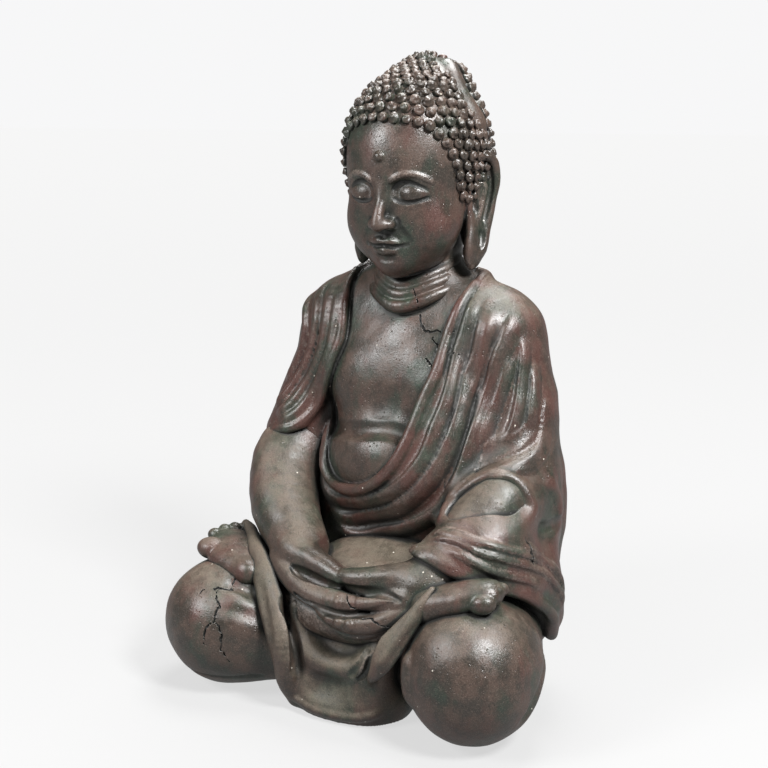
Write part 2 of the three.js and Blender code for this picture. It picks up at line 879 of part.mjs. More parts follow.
function toGeometry({ points, faces }) {
  const renumber = new Map();
  const kept = [];
  const index = faces.flat().map((v) => {
    if (!renumber.has(v)) {
      renumber.set(v, renumber.size);
      kept.push(...points[v]);
    }
    return renumber.get(v);
  });
  const geometry = new THREE.BufferGeometry();
  geometry.setAttribute("position", new THREE.Float32BufferAttribute(kept, 3));
  geometry.setIndex(index);
  return geometry;
}

// Everything below the ground plane is cut away, which leaves the flat underside

const manifold = await Module();
manifold.setup();

const toSolid = (geometry) =>
  new manifold.Manifold(
    new manifold.Mesh({
      numProp: 3,
      vertProperties: geometry.attributes.position.array,
      triVerts: new Uint32Array(geometry.index.array),
    }),
  );

function fromSolid(solid) {
  const mesh = solid.getMesh();
  const geometry = new THREE.BufferGeometry();
  geometry.setAttribute("position", new THREE.BufferAttribute(mesh.vertProperties, 3));
  geometry.setIndex(new THREE.BufferAttribute(mesh.triVerts, 1));
  return geometry;
}

const ROOM = 1000;
const aboveGround = mergeVertices(
  new THREE.BoxGeometry(ROOM, ROOM, ROOM).deleteAttribute("normal").deleteAttribute("uv"),
).translate(0, 0, ROOM / 2);

const BELOW = 10; // depth the form reaches below ground before it is cut
const sunk = (x, y, z) => max(figure(x, y, z), -BELOW - z);
const fineSkin = outerSkin(polygonise(sunk, [-260, -250, -16], [260, 150, 716], CELL));
const inFace = ([x, y, z]) => z > 460 && y < 20;
const inHands = ([x, y, z]) => hypot(x, y + 160, z - 145) < 100;
const inRobe = ([x, y, z]) => y < -20 && z > 160;
const careAt = (p) => (inFace(p) || inHands(p) ? 3.5 : inRobe(p) ? 2 : 1);
const skin = thin(fineSkin, TRIANGLES, careAt);
const cast = toSolid(toGeometry(skin)).intersect(toSolid(aboveGround));

const patinated = new THREE.MeshStandardMaterial({
  name: "patinated_cast",
  color: 0x4c413a,
  roughness: 0.5,
  metalness: 0,
});
const solid = new THREE.Mesh(fromSolid(cast), patinated);
solid.name = "buddha_figure";

const group = new THREE.Group();
group.name = "seated_buddha";
group.add(solid);
export default group;
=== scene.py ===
import math
from concurrent.futures import ThreadPoolExecutor

import bmesh
import bpy
import numpy as np
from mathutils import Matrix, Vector


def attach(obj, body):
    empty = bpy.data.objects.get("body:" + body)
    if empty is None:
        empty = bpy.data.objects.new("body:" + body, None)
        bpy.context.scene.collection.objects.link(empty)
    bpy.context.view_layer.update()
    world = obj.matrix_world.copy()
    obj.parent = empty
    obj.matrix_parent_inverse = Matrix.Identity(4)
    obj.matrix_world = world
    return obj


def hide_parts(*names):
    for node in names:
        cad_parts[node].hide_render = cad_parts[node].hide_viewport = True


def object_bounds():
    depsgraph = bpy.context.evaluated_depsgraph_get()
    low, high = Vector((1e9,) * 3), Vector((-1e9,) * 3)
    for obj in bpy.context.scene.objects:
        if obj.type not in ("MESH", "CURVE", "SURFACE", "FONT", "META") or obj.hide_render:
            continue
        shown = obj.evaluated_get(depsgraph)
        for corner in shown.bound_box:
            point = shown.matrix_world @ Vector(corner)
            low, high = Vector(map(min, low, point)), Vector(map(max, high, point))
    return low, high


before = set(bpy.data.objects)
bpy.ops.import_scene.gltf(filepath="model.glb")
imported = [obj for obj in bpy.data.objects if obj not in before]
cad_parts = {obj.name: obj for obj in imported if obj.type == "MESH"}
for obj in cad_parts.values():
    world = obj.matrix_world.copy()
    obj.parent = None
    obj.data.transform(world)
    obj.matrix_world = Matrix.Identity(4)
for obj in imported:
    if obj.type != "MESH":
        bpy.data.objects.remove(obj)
cad_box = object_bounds()

# A seated, meditating garden figure, cast in one piece.
# The form is a field of distances in millimetres, blended from simple bodies, with folds drawn
# on it as ridges and grooves. Each piece of the skin is sampled from it as a closed mesh.
# The figure faces -Y, its own left side is +X, and Z is the height above the underside.

MM = 0.001
rng = np.random.default_rng(7)


# Toolkit: distances and how they join

def smooth(v):
    """Rises gently from 0 to 1."""
    t = np.clip(v, 0.0, 1.0)
    return t * t * (3 - 2 * t)


def fading(along, share):
    """1 in the middle of a path, and down to 0 over a share of its length at each end."""
    return smooth(along / share) * smooth((1 - along) / share)


def soft_min(a, b, k):
    """The lesser of two distances, rounded where they are within k of each other."""
    h = np.maximum(k - np.abs(a - b), 0)
    return np.minimum(a, b) - h * h / (4 * k)


def soft_max(a, b, k):
    return -soft_min(-a, -b, k)


class Body:
    """A distance function with a ball round it, outside which it is skipped."""

    def __init__(self, at, centre, reach):
        self.at = at
        self.centre = np.array(centre, float)
        self.reach = reach

    def __call__(self, p):
        return self.at(p)


def reshaped(body, at, grow=0):
    """Another distance function in the ball of the given body."""
    return Body(at, body.centre, body.reach + grow)


def thickened(body, by):
    return reshaped(body, lambda p: body(p) - by, by)


def cut_below(body, z):
    return reshaped(body, lambda p: np.maximum(body(p), z - p[:, 2]))


def dots(a, b):
    return np.einsum("ij,ij->i", a, b)


def length(v):
    return np.sqrt(dots(v, v))


def ball_of(p):
    """Centre and radius of a ball that holds all the points."""
    low, high = p.min(axis=0), p.max(axis=0)
    return (low + high) / 2, np.linalg.norm(high - low) / 2


def blend(k, *bodies):
    def at(p):
        middle, radius = ball_of(p)
        d = np.full(len(p), 1e9)
        furthest = 1e9
        for b in bodies:
            if np.linalg.norm(middle - b.centre) - radius - b.reach > furthest + k:
                continue
            d = soft_min(d, b.at(p), k)
            furthest = d.max()
        return d
    centre = np.mean([b.centre for b in bodies], axis=0)
    reach = max(np.linalg.norm(b.centre - centre) + b.reach for b in bodies)
    return Body(at, centre, reach)


def turn_matrix(turn):
    """Rotation about X, then Y, then Z in the body's frame, as in the source of the solids."""
    x, y, z = np.radians(turn)
    rx = np.array([[1, 0, 0], [0, math.cos(x), -math.sin(x)], [0, math.sin(x), math.cos(x)]])
    ry = np.array([[math.cos(y), 0, math.sin(y)], [0, 1, 0], [-math.sin(y), 0, math.cos(y)]])
    rz = np.array([[math.cos(z), -math.sin(z), 0], [math.sin(z), math.cos(z), 0], [0, 0, 1]])
    return rx @ ry @ rz


def egg(centre, radii, turn=(0, 0, 0)):
    c = np.array(centre, float)
    r = np.array(radii, float)
    m = turn_matrix(turn)
    once, twice, least = m / r, m / (r * r), r.min()

    def at(p):
        q = p - c
        near = np.maximum(length(q @ once), 1e-6)
        steep = np.maximum(length(q @ twice), 1e-9)
        return np.maximum(near * (near - 1) / steep, np.where(near < 1, least * (near - 1), 0))
    return Body(at, c, r.max())


def ball(centre, r):
    return egg(centre, (r, r, r))


def trace(points, steps=3):
    """A smooth centripetal curve through points (x, y, z, ...sizes), cut into straight steps."""
    pts = np.array(points, float)
    xyz = pts[:, :3]
    n = len(pts)
    out = []
    for i in range(n - 1):
        p1, p2 = xyz[i], xyz[i + 1]
        p0 = xyz[i - 1] if i > 0 else 2 * p1 - p2
        p3 = xyz[i + 2] if i < n - 2 else 2 * p2 - p1
        d0, d1, d2 = (max(np.linalg.norm(b - a), 1e-4) ** 0.5
                      for a, b in ((p0, p1), (p1, p2), (p2, p3)))
        t1 = ((p1 - p0) / d0 - (p2 - p0) / (d0 + d1) + (p2 - p1) / d1) * d1
        t2 = ((p2 - p1) / d1 - (p3 - p1) / (d1 + d2) + (p3 - p2) / d2) * d1
        for s in range(steps + (i == n - 2)):
            t = s / steps
            a = 2 * p1 - 2 * p2 + t1 + t2
            b = -3 * p1 + 3 * p2 - 2 * t1 - t2
            place = ((a * t + b) * t + t1) * t + p1
            sizes = pts[i, 3:] + (pts[i + 1, 3:] - pts[i, 3:]) * t
            out.append(np.concatenate([place, sizes]))
    return np.array(out)


def ball_round(path, grow):
    centre = path[:, :3].mean(axis=0)
    return centre, np.linalg.norm(path[:, :3] - centre, axis=1).max() + grow


def nearest(path, p):
    """Distance to a path, how far along it from 0 to 1, the sizes there, and the offset."""
    a = path[:-1, :3]
    u = path[1:, :3] - a
    uu = np.maximum(dots(u, u), 1e-9)
    pu = p @ u.T - dots(a, u)
    t = np.clip(pu / uu, 0, 1)
    d2 = dots(a, a) - 2 * (p @ a.T) - t * (2 * pu - t * uu)
    i = np.argmin(d2, axis=1)
    t = t[np.arange(len(p)), i]
    offset = p - a[i] - t[:, None] * u[i]
    sizes = path[i, 3:] + t[:, None] * (path[i + 1, 3:] - path[i, 3:])
    return length(offset), (i + t) / len(a), sizes, offset


def tube(path):
    """A round body along a path of places and radii."""
    centre, reach = ball_round(path, path[:, 3].max())

    def at(p):
        d, _, sizes, _ = nearest(path, p)
        return d - sizes[:, 0]
    return Body(at, centre, reach)


def limb(points, steps=3):
    """A round limb along points (x, y, z, radius)."""
    return tube(trace(points, steps))


def band(points, face):
    """A flat band of cloth along points (x, y, z, half width, half thickness)."""
    path = trace(points, 4)
    f = np.array(face, float) / np.linalg.norm(face)
    centre, reach = ball_round(path, path[:, 3].max())

    def at(p):
        d, _, sizes, offset = nearest(path, p)
        out = offset @ f
        wide = np.sqrt(np.maximum(d * d - out * out, 0))
        ratio = sizes[:, 1] / sizes[:, 0]
        return (np.hypot(wide, out / ratio) - sizes[:, 0]) * np.minimum(1, ratio * 1.6)
    return Body(at, centre, reach)


def settle(path, onto):
    """Moves a path along the field's slope on to its surface."""
    for _ in range(6):
        p = path[:, :3]
        d = onto(p)
        g = slope(onto, p, d)
        steep = np.maximum(dots(g, g), 0.2)
        path[:, :3] = p - g * (d / steep)[:, None]
    return path


def slope(field, p, d=None):
    """How fast a field grows along X, Y and Z."""
    e = 0.3
    d = field(p) if d is None else d
    return np.stack([field(p + step) - d for step in np.eye(3) * e], axis=1) / e


def roll(points, radius, onto, sink, steps=4):
    """A rolled edge of cloth: a tube that lies half sunk in a surface and thins at its ends."""
    path = settle(trace(points, steps), onto)
    out = slope(onto, path)
    path = path - out * sink
    along = np.linspace(0, 1, len(path))
    taper = 0.45 + 0.55 * fading(along, 0.12)
    return tube(np.column_stack([path, radius * taper]))


class Mark:
    """A ridge (height above 0) or groove (below 0) along a path on a surface, fading at its ends.
    With a gentle width, the side away from the given centre slopes like a layer of cloth."""

    def __init__(self, points, width, height, onto, fade=0.15, gentle=None, centre=None):
        self.path = settle(trace(points, 4), onto)
        self.width, self.height, self.fade = width, height, fade
        self.gentle, self.inward = gentle, centre
        self.steepness = abs(height) / width
        self.centre, self.reach = ball_round(self.path, max(width, gentle or 0))

    def add(self, p, d, steep, middle, radius):
        if np.linalg.norm(middle - self.centre) > self.reach + radius:
            return
        close = np.flatnonzero(length(p - self.centre) < self.reach)
        if len(close) == 0:
            return
        away, along, _, offset = nearest(self.path, p[close])
        width = self.width
        if self.gentle:
            out = p[close] - self.inward
            outer = dots(offset, out) / np.maximum(away * length(out), 1e-6)
            width = self.width + (self.gentle - self.width) * smooth(0.5 + outer)
        s = np.minimum(away / width, 1)
        ends = fading(along, self.fade)
        d[close] -= self.height * ends * (1 - s ** 2) ** 2
        steep[close] = np.maximum(steep[close], np.where(s < 1, ends, 0) * self.steepness)


def pleat(points, height, centre, onto, fade=0.15, steep=6.5, gentle=18):
    """A layer's edge: steep towards the centre, and sloping gently away from it."""
    return Mark(points, steep, height, onto, fade, gentle=gentle, centre=np.array(centre, float))


def pleats(paths, heights, *shape):
    return [pleat(path, height, *shape) for path, height in zip(paths, heights)]


def marked(field, marks, centre=None, reach=None):
    """A field with marks on it, in its own ball unless another is given."""
    def at(p):
        d = field(p)
        middle, radius = ball_of(p)
        steep = np.zeros(len(p))
        for m in marks:
            m.add(p, d, steep, middle, radius)
        return d / (1 + steep)
    return Body(at, field.centre if centre is None else centre, reach or field.reach)


def carved(body, rows, *ball_given):
    """A body with marks on it, from rows of points, width, height and perhaps the fade."""
    return marked(body, [Mark(points, width, height, body, *fade)
                         for points, width, height, *fade in rows], *ball_given)


def mirrored(points):
    return [(-p[0],) + tuple(p[1:]) for p in points]


def both(points):
    return [points, mirrored(points)]


def inside_polygon(points, x, z):
    """Signed distance to a closed outline in the front view, below 0 inside."""
    d2 = np.full(len(x), 1e18)
    sign = np.ones(len(x))
    for i, (bx, bz) in enumerate(points):
        ax, az = points[i - 1]
        ex, ez = ax - bx, az - bz
        wx, wz = x - bx, z - bz
        t = np.clip((wx * ex + wz * ez) / (ex * ex + ez * ez), 0, 1)
        d2 = np.minimum(d2, (wx - ex * t) ** 2 + (wz - ez * t) ** 2)
        c = np.stack([z >= bz, z < az, ex * wz > ez * wx])
        flip = c.all(axis=0) | (~c).all(axis=0)
        sign[flip] *= -1
    return sign * np.sqrt(d2)


# Skin: samples a field near its surface and joins the crossings into a closed mesh

CHUNK = 3000
MARGIN = 1.6
POLISH_ROUNDS = 2
workers = ThreadPoolExecutor(4)


def sample(body, p):
    """The field at many points, in small groups that lie close together."""
    parts = np.array_split(p, len(p) // CHUNK + 1)
    return np.concatenate(list(workers.map(body.at, parts)))


def key_of(ijk, dims):
    return (ijk[:, 0] * dims[1] + ijk[:, 1]) * dims[2] + ijk[:, 2]


# A cell's corners, numbered by the bits of their X, Y and Z, and the pairs that its edges join
CORNERS = np.array([[n & 1, n >> 1 & 1, n >> 2] for n in range(8)])
EDGES = [(n, n | bit) for bit in (1, 2, 4) for n in range(8) if not n & bit]


def skin(body, low, high, cell):
    """The surface of a body between two corners: points and faces, from cells of one size."""
    low = np.array(low, float)
    dims = np.ceil((np.array(high, float) - low) / cell).astype(np.int64) + 2
    # Blocks of cells that may hold the surface are halved, from 16 cells a side down to 1
    size = 16
    cells = np.stack(np.meshgrid(*[np.arange(0, n, size) for n in dims], indexing="ij"), -1)
    cells = cells.reshape(-1, 3)
    while True:
        d = sample(body, low + (cells + size / 2) * cell)
        cells = cells[np.abs(d) < (size * 0.87 + 0.5) * cell * MARGIN]
        if size == 1:
            break
        size //= 2
        cells = (cells[:, None, :] + size * CORNERS[None]).reshape(-1, 3)
    cells = cells[(cells < dims - 1).all(axis=1)]

    keys = key_of((cells[:, None, :] + CORNERS[None]).reshape(-1, 3), dims)
    unique, first, inverse = np.unique(keys, return_index=True, return_inverse=True)
    ijk = np.stack([unique // (dims[1] * dims[2]), unique // dims[2] % dims[1],
                    unique % dims[2]], 1)
    order = np.argsort(first)
    values = np.empty(len(unique))
    values[order] = sample(body, low + ijk[order] * cell)
    value = values[inverse].reshape(-1, 8)
    inside = value < 0
    mixed = inside.any(axis=1) & ~inside.all(axis=1)
    cells, value, inside = cells[mixed], value[mixed], inside[mixed]

    total = np.zeros((len(cells), 3))
    count = np.zeros(len(cells))
    for a, b in EDGES:
        cross = inside[:, a] != inside[:, b]
        t = value[cross, a] / (value[cross, a] - value[cross, b])
        total[cross] += CORNERS[a] + (CORNERS[b] - CORNERS[a]) * t[:, None]
        count[cross] += 1
    points = low + (cells + total / count[:, None]) * cell

    cell_keys = key_of(cells, dims)
    order = np.argsort(cell_keys)
    sorted_keys = cell_keys[order]

    def lookup(ijk):
        k = key_of(ijk, dims)
        at = np.clip(np.searchsorted(sorted_keys, k), 0, len(sorted_keys) - 1)
        return np.where(sorted_keys[at] == k, order[at], -1)

    quads = []
    for b, u, v in ((1, 1, 2), (2, 2, 0), (4, 0, 1)):
        cross = inside[:, 0] != inside[:, b]
        here, begins_inside = cells[cross], inside[cross, 0]
        step_u, step_v = np.eye(3, dtype=int)[[u, v]]
        quad = np.stack([lookup(here), lookup(here - step_u), lookup(here - step_u - step_v),
                         lookup(here - step_v)], 1)
        whole = (quad >= 0).all(axis=1)
        quad, flip = quad[whole], ~begins_inside[whole]
        quad[flip] = quad[flip][:, ::-1]
        quads.append(quad)
    quads = np.concatenate(quads)

    for _ in range(POLISH_ROUNDS):
        d = sample(body, points)
        g = np.stack([sample(body, points + step) - d for step in np.eye(3) * 0.2], axis=1) / 0.2
        steep = np.maximum(dots(g, g), 0.3)
        move = g * (d / steep)[:, None]
        points = points - move * np.minimum(1, 0.5 * cell / np.maximum(length(move), 1e-9))[:, None]
    return points, quads


# The form, from the head down

NOSE_Z, BROW_Z = 521, 575

# Head: skull and face nod a little towards the lap
NOD = 5
NOD_PIVOT_Z = 540
HEAD_BACK = 3
nod = turn_matrix((NOD, 0, 0))


def nodding(body, centre, reach):
    def at(p):
        q = (p - np.array([0, HEAD_BACK, NOD_PIVOT_Z])) @ nod
        return body(q + np.array([0, 0, NOD_PIVOT_Z]))
    return Body(at, centre, reach)


def two_eggs(x, y, z, radii, turn=0):
    """The same egg on both sides of the face, turned about the upright towards its own side."""
    return [egg((s * x, y, z), radii, (0, 0, s * turn)) for s in (-1, 1)]


def two_limbs(points):
    return [limb(p) for p in both(points)]


def set_back(body, centre, reach):
    return Body(lambda p: body(p - np.array([0, HEAD_BACK, 0])), centre, reach)


skull = blend(
    20,
    egg((0, -2, 590), (73, 82, 83)),
    egg((0, -24, 546), (61, 57, 78)),
    egg((0, -34, 502), (46, 40, 33)),
    ball((0, -60, 484), 16),
    ball((34, -40, 522), 28),
    ball((-34, -40, 522), 28))
sockets = blend(2, *two_eggs(28.5, -92, 561, (23, 20, 16), 14))
lids = blend(1, *two_eggs(27, -58.5, 557, (20, 20, 15.5), 8))
eyeballs = blend(1, *two_eggs(27, -58, 555, (18, 15.5, 13), 8))
lower_lids = blend(1, *two_limbs([(-10, -72, 553, 1.6), (-19, -75.5, 546.5, 2.0),
                                  (-30, -73.5, 545, 2.0), (-42, -63.5, 549, 1.6)]))
nose = blend(
    7, limb([(0, -73, BROW_Z - 2, 6), (0, -84, 551, 5.4), (0, -93, 533, 6.6), (0, -94, 527, 7.2)]),
    *two_eggs(9, -84.5, NOSE_Z + 6, (6.4, 8.5, 6.2)))
nostrils = blend(1, *two_eggs(5.5, -88, NOSE_Z - 0.5, (2.8, 4.5, 3.2)))
lips = blend(
    2, *two_limbs([(0, -80.5, 507.5, 4.4), (6.5, -80.5, 508.5, 4.6), (14, -76.5, 506, 3.4),
                   (20.5, -70.5, 505, 1.8)]),
    *two_limbs([(0, -79.5, 498, 5.4), (8, -78, 498.6, 4.6), (16, -72.5, 501.5, 2.2)]))
urna = ball((0, -83.5, 597), 5.6)


def face_form(p):
    d = skull(p)
    d = soft_max(d, -sockets(p), 5)
    d = soft_min(d, eyeballs(p), 2)
    lid_line = 550 + 0.014 * (np.abs(p[:, 0]) - 26) ** 2 - p[:, 2]
    d = soft_min(d, soft_max(lids(p), lid_line, 0.8), 1.6)
    d = soft_min(d, lower_lids(p), 2)
    d = soft_min(d, nose(p), 8)
    d = soft_max(d, -nostrils(p), 2)
    d = soft_min(d, lips(p), 4)
    return soft_min(d, urna(p), 1.5)


face_body = Body(face_form, (0, -4, 570), 125)
# Rows of points, width, height and perhaps the fade, each for both sides of the face
SIDE_MARKS = [
    # Brow, crease over the lid, slit of the closed eye
    ([(9, -84, 569), (20, -82, 577), (36, -75, 578), (52, -57, 567)], 4.5, 3.4),
    ([(11, -80, 560), (20, -78, 569), (32, -73, 570), (46, -60, 559)], 3, -2.2),
    ([(11, -78, 554), (18, -79, 550.5), (28, -76, 549), (38, -68, 551), (46, -58, 555)], 2.8, -3.0),
    # Wing of the nose against the cheek, the fold down from it, and the corner of the mouth
    ([(15, -82, 534), (17.5, -80, 528), (15, -82, 521)], 3.4, -2.6),
    ([(17, -80, 523), (23, -74, 513), (26, -69, 505)], 6, -1.6),
    ([(21, -74, 506), (24, -71, 502)], 4, -3.0, 0.4)]
# Parting of the lips, and the hollows above and below them
MIDDLE_MARKS = [
    ([(-22, -71, 505), (-10, -82, 502.4), (0, -86, 503.6), (10, -82, 502.4), (22, -71, 505)],
     3.0, -3.6, 0.1),
    ([(0, -92, 520), (0, -86, 511)], 3.5, -2.6, 0.3),
    ([(-13, -77, 490), (0, -81, 488), (13, -77, 490)], 6, -3.0, 0.3)]
face_marks = [(side, *sizes) for points, *sizes in SIDE_MARKS for side in both(points)]
face = nodding(carved(face_body, face_marks + MIDDLE_MARKS), (0, 0, 570), 125)

# Long ears with heavy lobes, shaped on the figure's left and mirrored
ear_plate = blend(
    4,
    limb([(63, -13, 554, 4), (67, -11, 572, 4.6), (74, -2, 587, 5), (81, 13, 585, 5),
          (83, 20, 566, 4.8), (80, 18, 540, 4.6), (75, 12, 512, 6), (71, 4, 490, 9),
          (68, -3, 480, 8.5)]),
    limb([(64, -12, 552, 4.5), (66, -10, 530, 4.5), (67, -9, 505, 6), (67, -8, 486, 8.5)]),
    egg((66, 5, 554), (9, 15, 30), (0, 0, -20)),
    egg((66, 6, 525), (8, 12, 30), (0, 0, -15)),
    egg((68, 0, 502), (6.5, 10, 32)),
    egg((68, -7, 491), (7, 13, 24)),
    egg((60, 12, 534), (17, 14, 54)),
    egg((61, -3, 528), (6, 7, 14)),
    egg((66, 14, 560), (13, 14, 30)))
ear = carved(ear_plate, [
    ([(72, -5, 570), (77, 8, 576), (80, 13, 560), (77, 11, 540), (73, 5, 516)], 4.5, -6),
    ([(73, -2, 562), (76, 5, 556), (73, 4, 540), (70, -2, 518)], 4.5, 5),
    ([(68, -8, 560), (70, -6, 545), (70, -6, 528)], 5, -6, 0.3),
    ([(72, 3, 512), (71, 0, 498), (70, -3, 486)], 6, -4, 0.35)], (66, 4, 532), 80)
ears = set_back(Body(lambda p: ear(np.column_stack([np.abs(p[:, 0]), p[:, 1:]])),
                     (0, 4, 532), 105), (0, 7, 532), 105)

# Hair: a cap that ends at the hairline, and the raised crown, both under the curls
CURL = 6.0
cap = egg((0, -3, 591), (82 - CURL, 90 - CURL, 93 - CURL))
crown = egg((0, 22, 651), (51 - CURL, 50 - CURL, 48 - CURL))
HAIRLINE = np.array(
    [(0, -90, 628), (28, -86, 626), (50, -68, 616), (60, -52, 598), (63, -38, 575), (64, -26, 545),
     (70, -8, 540), (74, 12, 548), (74, 30, 530), (62, 60, 512), (0, 80, 506)], float)
HAIR_BEARING = np.arctan2(HAIRLINE[:, 0], -HAIRLINE[:, 1])


def hairline_at(x, y):
    return np.interp(np.arctan2(np.abs(x), -y), HAIR_BEARING, HAIRLINE[:, 2])


def hair_form(p):
    under = (hairline_at(p[:, 0], p[:, 1]) - p[:, 2]) * 0.35
    return soft_min(soft_max(cap(p), under, 3), crown(p), 12)


hair_plain = set_back(Body(hair_form, (0, 6, 605), 110), (0, 9, 605), 110)
# A plain raised band left over from the casting, where the curls stop
BARE_STRIP = [(17, 26, 691), (28, 18, 682), (40, 10, 671), (52, 4, 657), (64, 2, 641), (71, 8, 626),
              (75, 18, 612)]
hair = blend(5, hair_plain, roll(BARE_STRIP, 11, hair_plain, 5))

# Neck with three folds
neck = limb([(0, 16, 520, 44), (0, 12, 470, 44), (0, 8, 425, 50)])


def collar(front, front_z, side, side_z):
    half = [(side * 0.5, 44, side_z + 10, 4), (side, 12, side_z, 6),
            (side * 0.72, front * 0.55, (side_z + front_z) / 2, 7)]
    return limb(half + [(0, front, front_z, 7.5)] + mirrored(half[::-1]), 6)


neck_folds = [collar(-35, 451, 42, 474), collar(-40, 440, 47, 465), collar(-45, 428, 53, 454)]

# Trunk and arms
trunk_plain = blend(
    26,
    egg((0, 8, 352), (102, 70, 92)),
    egg((38, -22, 334), (52, 42, 46)),
    egg((-38, -22, 334), (54, 42, 46)),
    egg((-4, -18, 258), (88, 78, 66)),
    egg((0, 14, 200), (124, 80, 130)),
    egg((-72, -8, 172), (54, 52, 72)),
    egg((0, 4, 95), (132, 94, 100)),
    limb([(-98, 12, 392, 38), (0, 14, 400, 42), (98, 12, 394, 37)]),
    limb([(0, 15, 456, 38), (84, 12, 410, 32)]),
    limb([(0, 15, 458, 39), (-84, 12, 412, 32)]))
trunk = carved(trunk_plain, [
    # Crease under the chest, and the hollow down its middle
    ([(-98, -24, 282), (-72, -52, 283), (-40, -74, 289), (-12, -82, 296), (0, -84, 300),
      (14, -80, 297), (36, -74, 288), (56, -60, 284)], 13, -7, 0.12),
    ([(0, -66, 346), (-2, -76, 322), (-2, -82, 300)], 20, -2, 0.4)])
right_upper_arm = limb([(-98, 12, 390, 38), (-117, 4, 330, 41), (-134, -18, 264, 42)])
left_upper_arm = limb([(98, 12, 392, 37), (116, 6, 330, 42), (124, -18, 262, 42)])
right_forearm = limb([(-136, -20, 262, 42), (-143, -48, 234, 43), (-120, -90, 196, 39),
                      (-76, -126, 166, 31)])
left_forearm = limb([(124, -20, 258, 36), (134, -70, 232, 38), (121, -98, 210, 34),
                     (104, -122, 184, 28), (92, -136, 171, 24)])

# Hands in the lap, thumbs touching
right_palm = blend(
    8,
    egg((-64, -138, 150), (34, 27, 25), (0, 22, -25)),
    egg((-34, -152, 148), (44, 19, 12), (0, 12, -14)),
    limb([(-92, -126, 172, 20), (-70, -146, 168, 17), (-48, -153, 166, 15.5),
          (-26, -159, 162, 13.5), (-8, -164, 158, 11.5), (1, -167, 157, 9)]))
right_fingers = blend(
    1.5,
    limb([(-86, -142, 154, 18), (-66, -157, 147, 17), (-46, -169, 141, 15), (-24, -177, 137, 14),
          (-2, -180, 136, 13), (12, -181, 136, 12), (22, -180, 137, 10)]),
    limb([(-78, -136, 138, 18), (-50, -156, 132, 15), (-24, -168, 130, 13)]),
    egg((-2, -186, 138), (8, 8, 8)),
    egg((10, -187, 138), (7.5, 8, 8)))
left_palm = blend(
    8,
    egg((90, -148, 158), (36, 24, 25), (0, -12, 22)),
    egg((68, -156, 146), (28, 21, 20)),
    egg((36, -158, 149), (36, 16, 12)),
    limb([(98, -138, 172, 18), (74, -152, 168, 15), (52, -160, 165, 13.5), (30, -166, 162, 12),
          (12, -168, 160, 10), (5, -168, 160, 8)]))
left_fingers = blend(
    1.5,
    limb([(78, -166, 148, 14), (60, -174, 145, 11), (46, -179, 142, 8.5), (32, -181, 140, 7.5)]),
    limb([(88, -160, 140, 17), (70, -172, 132, 13), (50, -180, 122, 11), (24, -184, 118, 12),
          (2, -182, 119, 11.5), (-16, -176, 125, 10), (-24, -171, 130, 7)]),
    limb([(66, -162, 120, 10), (34, -174, 106, 8), (4, -174, 104, 7.5), (-14, -168, 110, 6)]),
    egg((0, -189, 120), (7.5, 7, 7.5)),
    egg((13, -192, 119), (7.5, 7, 7.5)),
    egg((26, -192, 119), (7.5, 7, 7.5)))
right_hand = blend(3, right_palm, right_fingers)
left_hand = blend(3, left_palm, left_fingers)

# Legs folded one over the other, and the lap between them
right_leg = blend(
    14,
    egg((-161, -144, 73), (73, 73, 70)),
    limb([(-60, 10, 84, 76), (-110, -66, 80, 68), (-150, -124, 74, 64)]),
    limb([(-150, -146, 66, 60), (-100, -130, 62, 52), (-40, -100, 60, 44)]))
left_leg = blend(
    14,
    egg((144, -148, 78), (70, 71, 76)),
    limb([(60, 10, 84, 76), (108, -70, 82, 74), (140, -128, 80, 68)]),
    limb([(144, -146, 70, 60), (100, -120, 66, 48), (40, -96, 60, 44)]))
lap = blend(
    12,
    egg((0, -78, 108), (150, 104, 44)),
    egg((2, -98, 128), (98, 60, 41)),
    egg((12, -76, 142), (84, 40, 36)))
seat_plain = blend(6, right_leg, left_leg, lap)
seat_body = carved(seat_plain, [
    # Folds of cloth drawn over the right shin
    ([(-138, -199, 124), (-118, -191, 121), (-100, -181, 113), (-84, -176, 105)], 17, 4, 0.45),
    ([(-140, -205, 98), (-118, -199, 94), (-98, -190, 88), (-80, -184, 82)], 17, 4, 0.45),
    ([(-142, -188, 138), (-118, -180, 134), (-94, -174, 124)], 12, -6, 0.3),
    # Edge of the cloth round the left knee
    ([(84, -196, 112), (90, -200, 92), (92, -200, 66), (96, -194, 40)], 12, 7, 0.3),
    ([(190, -70, 112), (200, -110, 92), (204, -140, 66), (198, -160, 34)], 10, -4),
    # Seam where the underside was closed
    ([(-196, -190, 17), (-160, -212, 13), (-120, -206, 12), (-84, -186, 12)], 4, -2, 0.1)])

# Feet, soles up, resting on the opposite thighs
left_foot_plain = blend(
    9,
    egg((-168, -116, 142), (44, 30, 21), (0, 10, -24)),
    egg((-158, -136, 140), (32, 24, 18), (0, 4, 10)),
    egg((-142, -142, 136), (34, 26, 19), (0, -4, -14)),
    egg((-134, -112, 146), (26, 24, 20)),
    egg((-125, -160, 139), (13, 11, 13)))
left_foot = blend(
    2.5, left_foot_plain,
    egg((-189, -137, 149), (17.5, 15, 12.5), (0, 4, 28)),
    egg((-203, -113, 155), (9, 8, 8)),
    egg((-197, -102, 158), (8.5, 7.5, 8)),
    egg((-190, -92, 159), (8, 7.5, 7.5)),
    egg((-182, -83, 159), (7.5, 7, 7)))
right_foot_plain = blend(
    9,
    egg((98, -160, 142), (20, 18, 18), (0, -12, 14)),
    egg((110, -164, 147), (24, 19, 19), (0, -14, 14)),
    egg((132, -160, 156), (27, 22, 18), (0, -18, 12)),
    egg((155, -152, 163), (24, 20, 16), (0, -16, 10)))
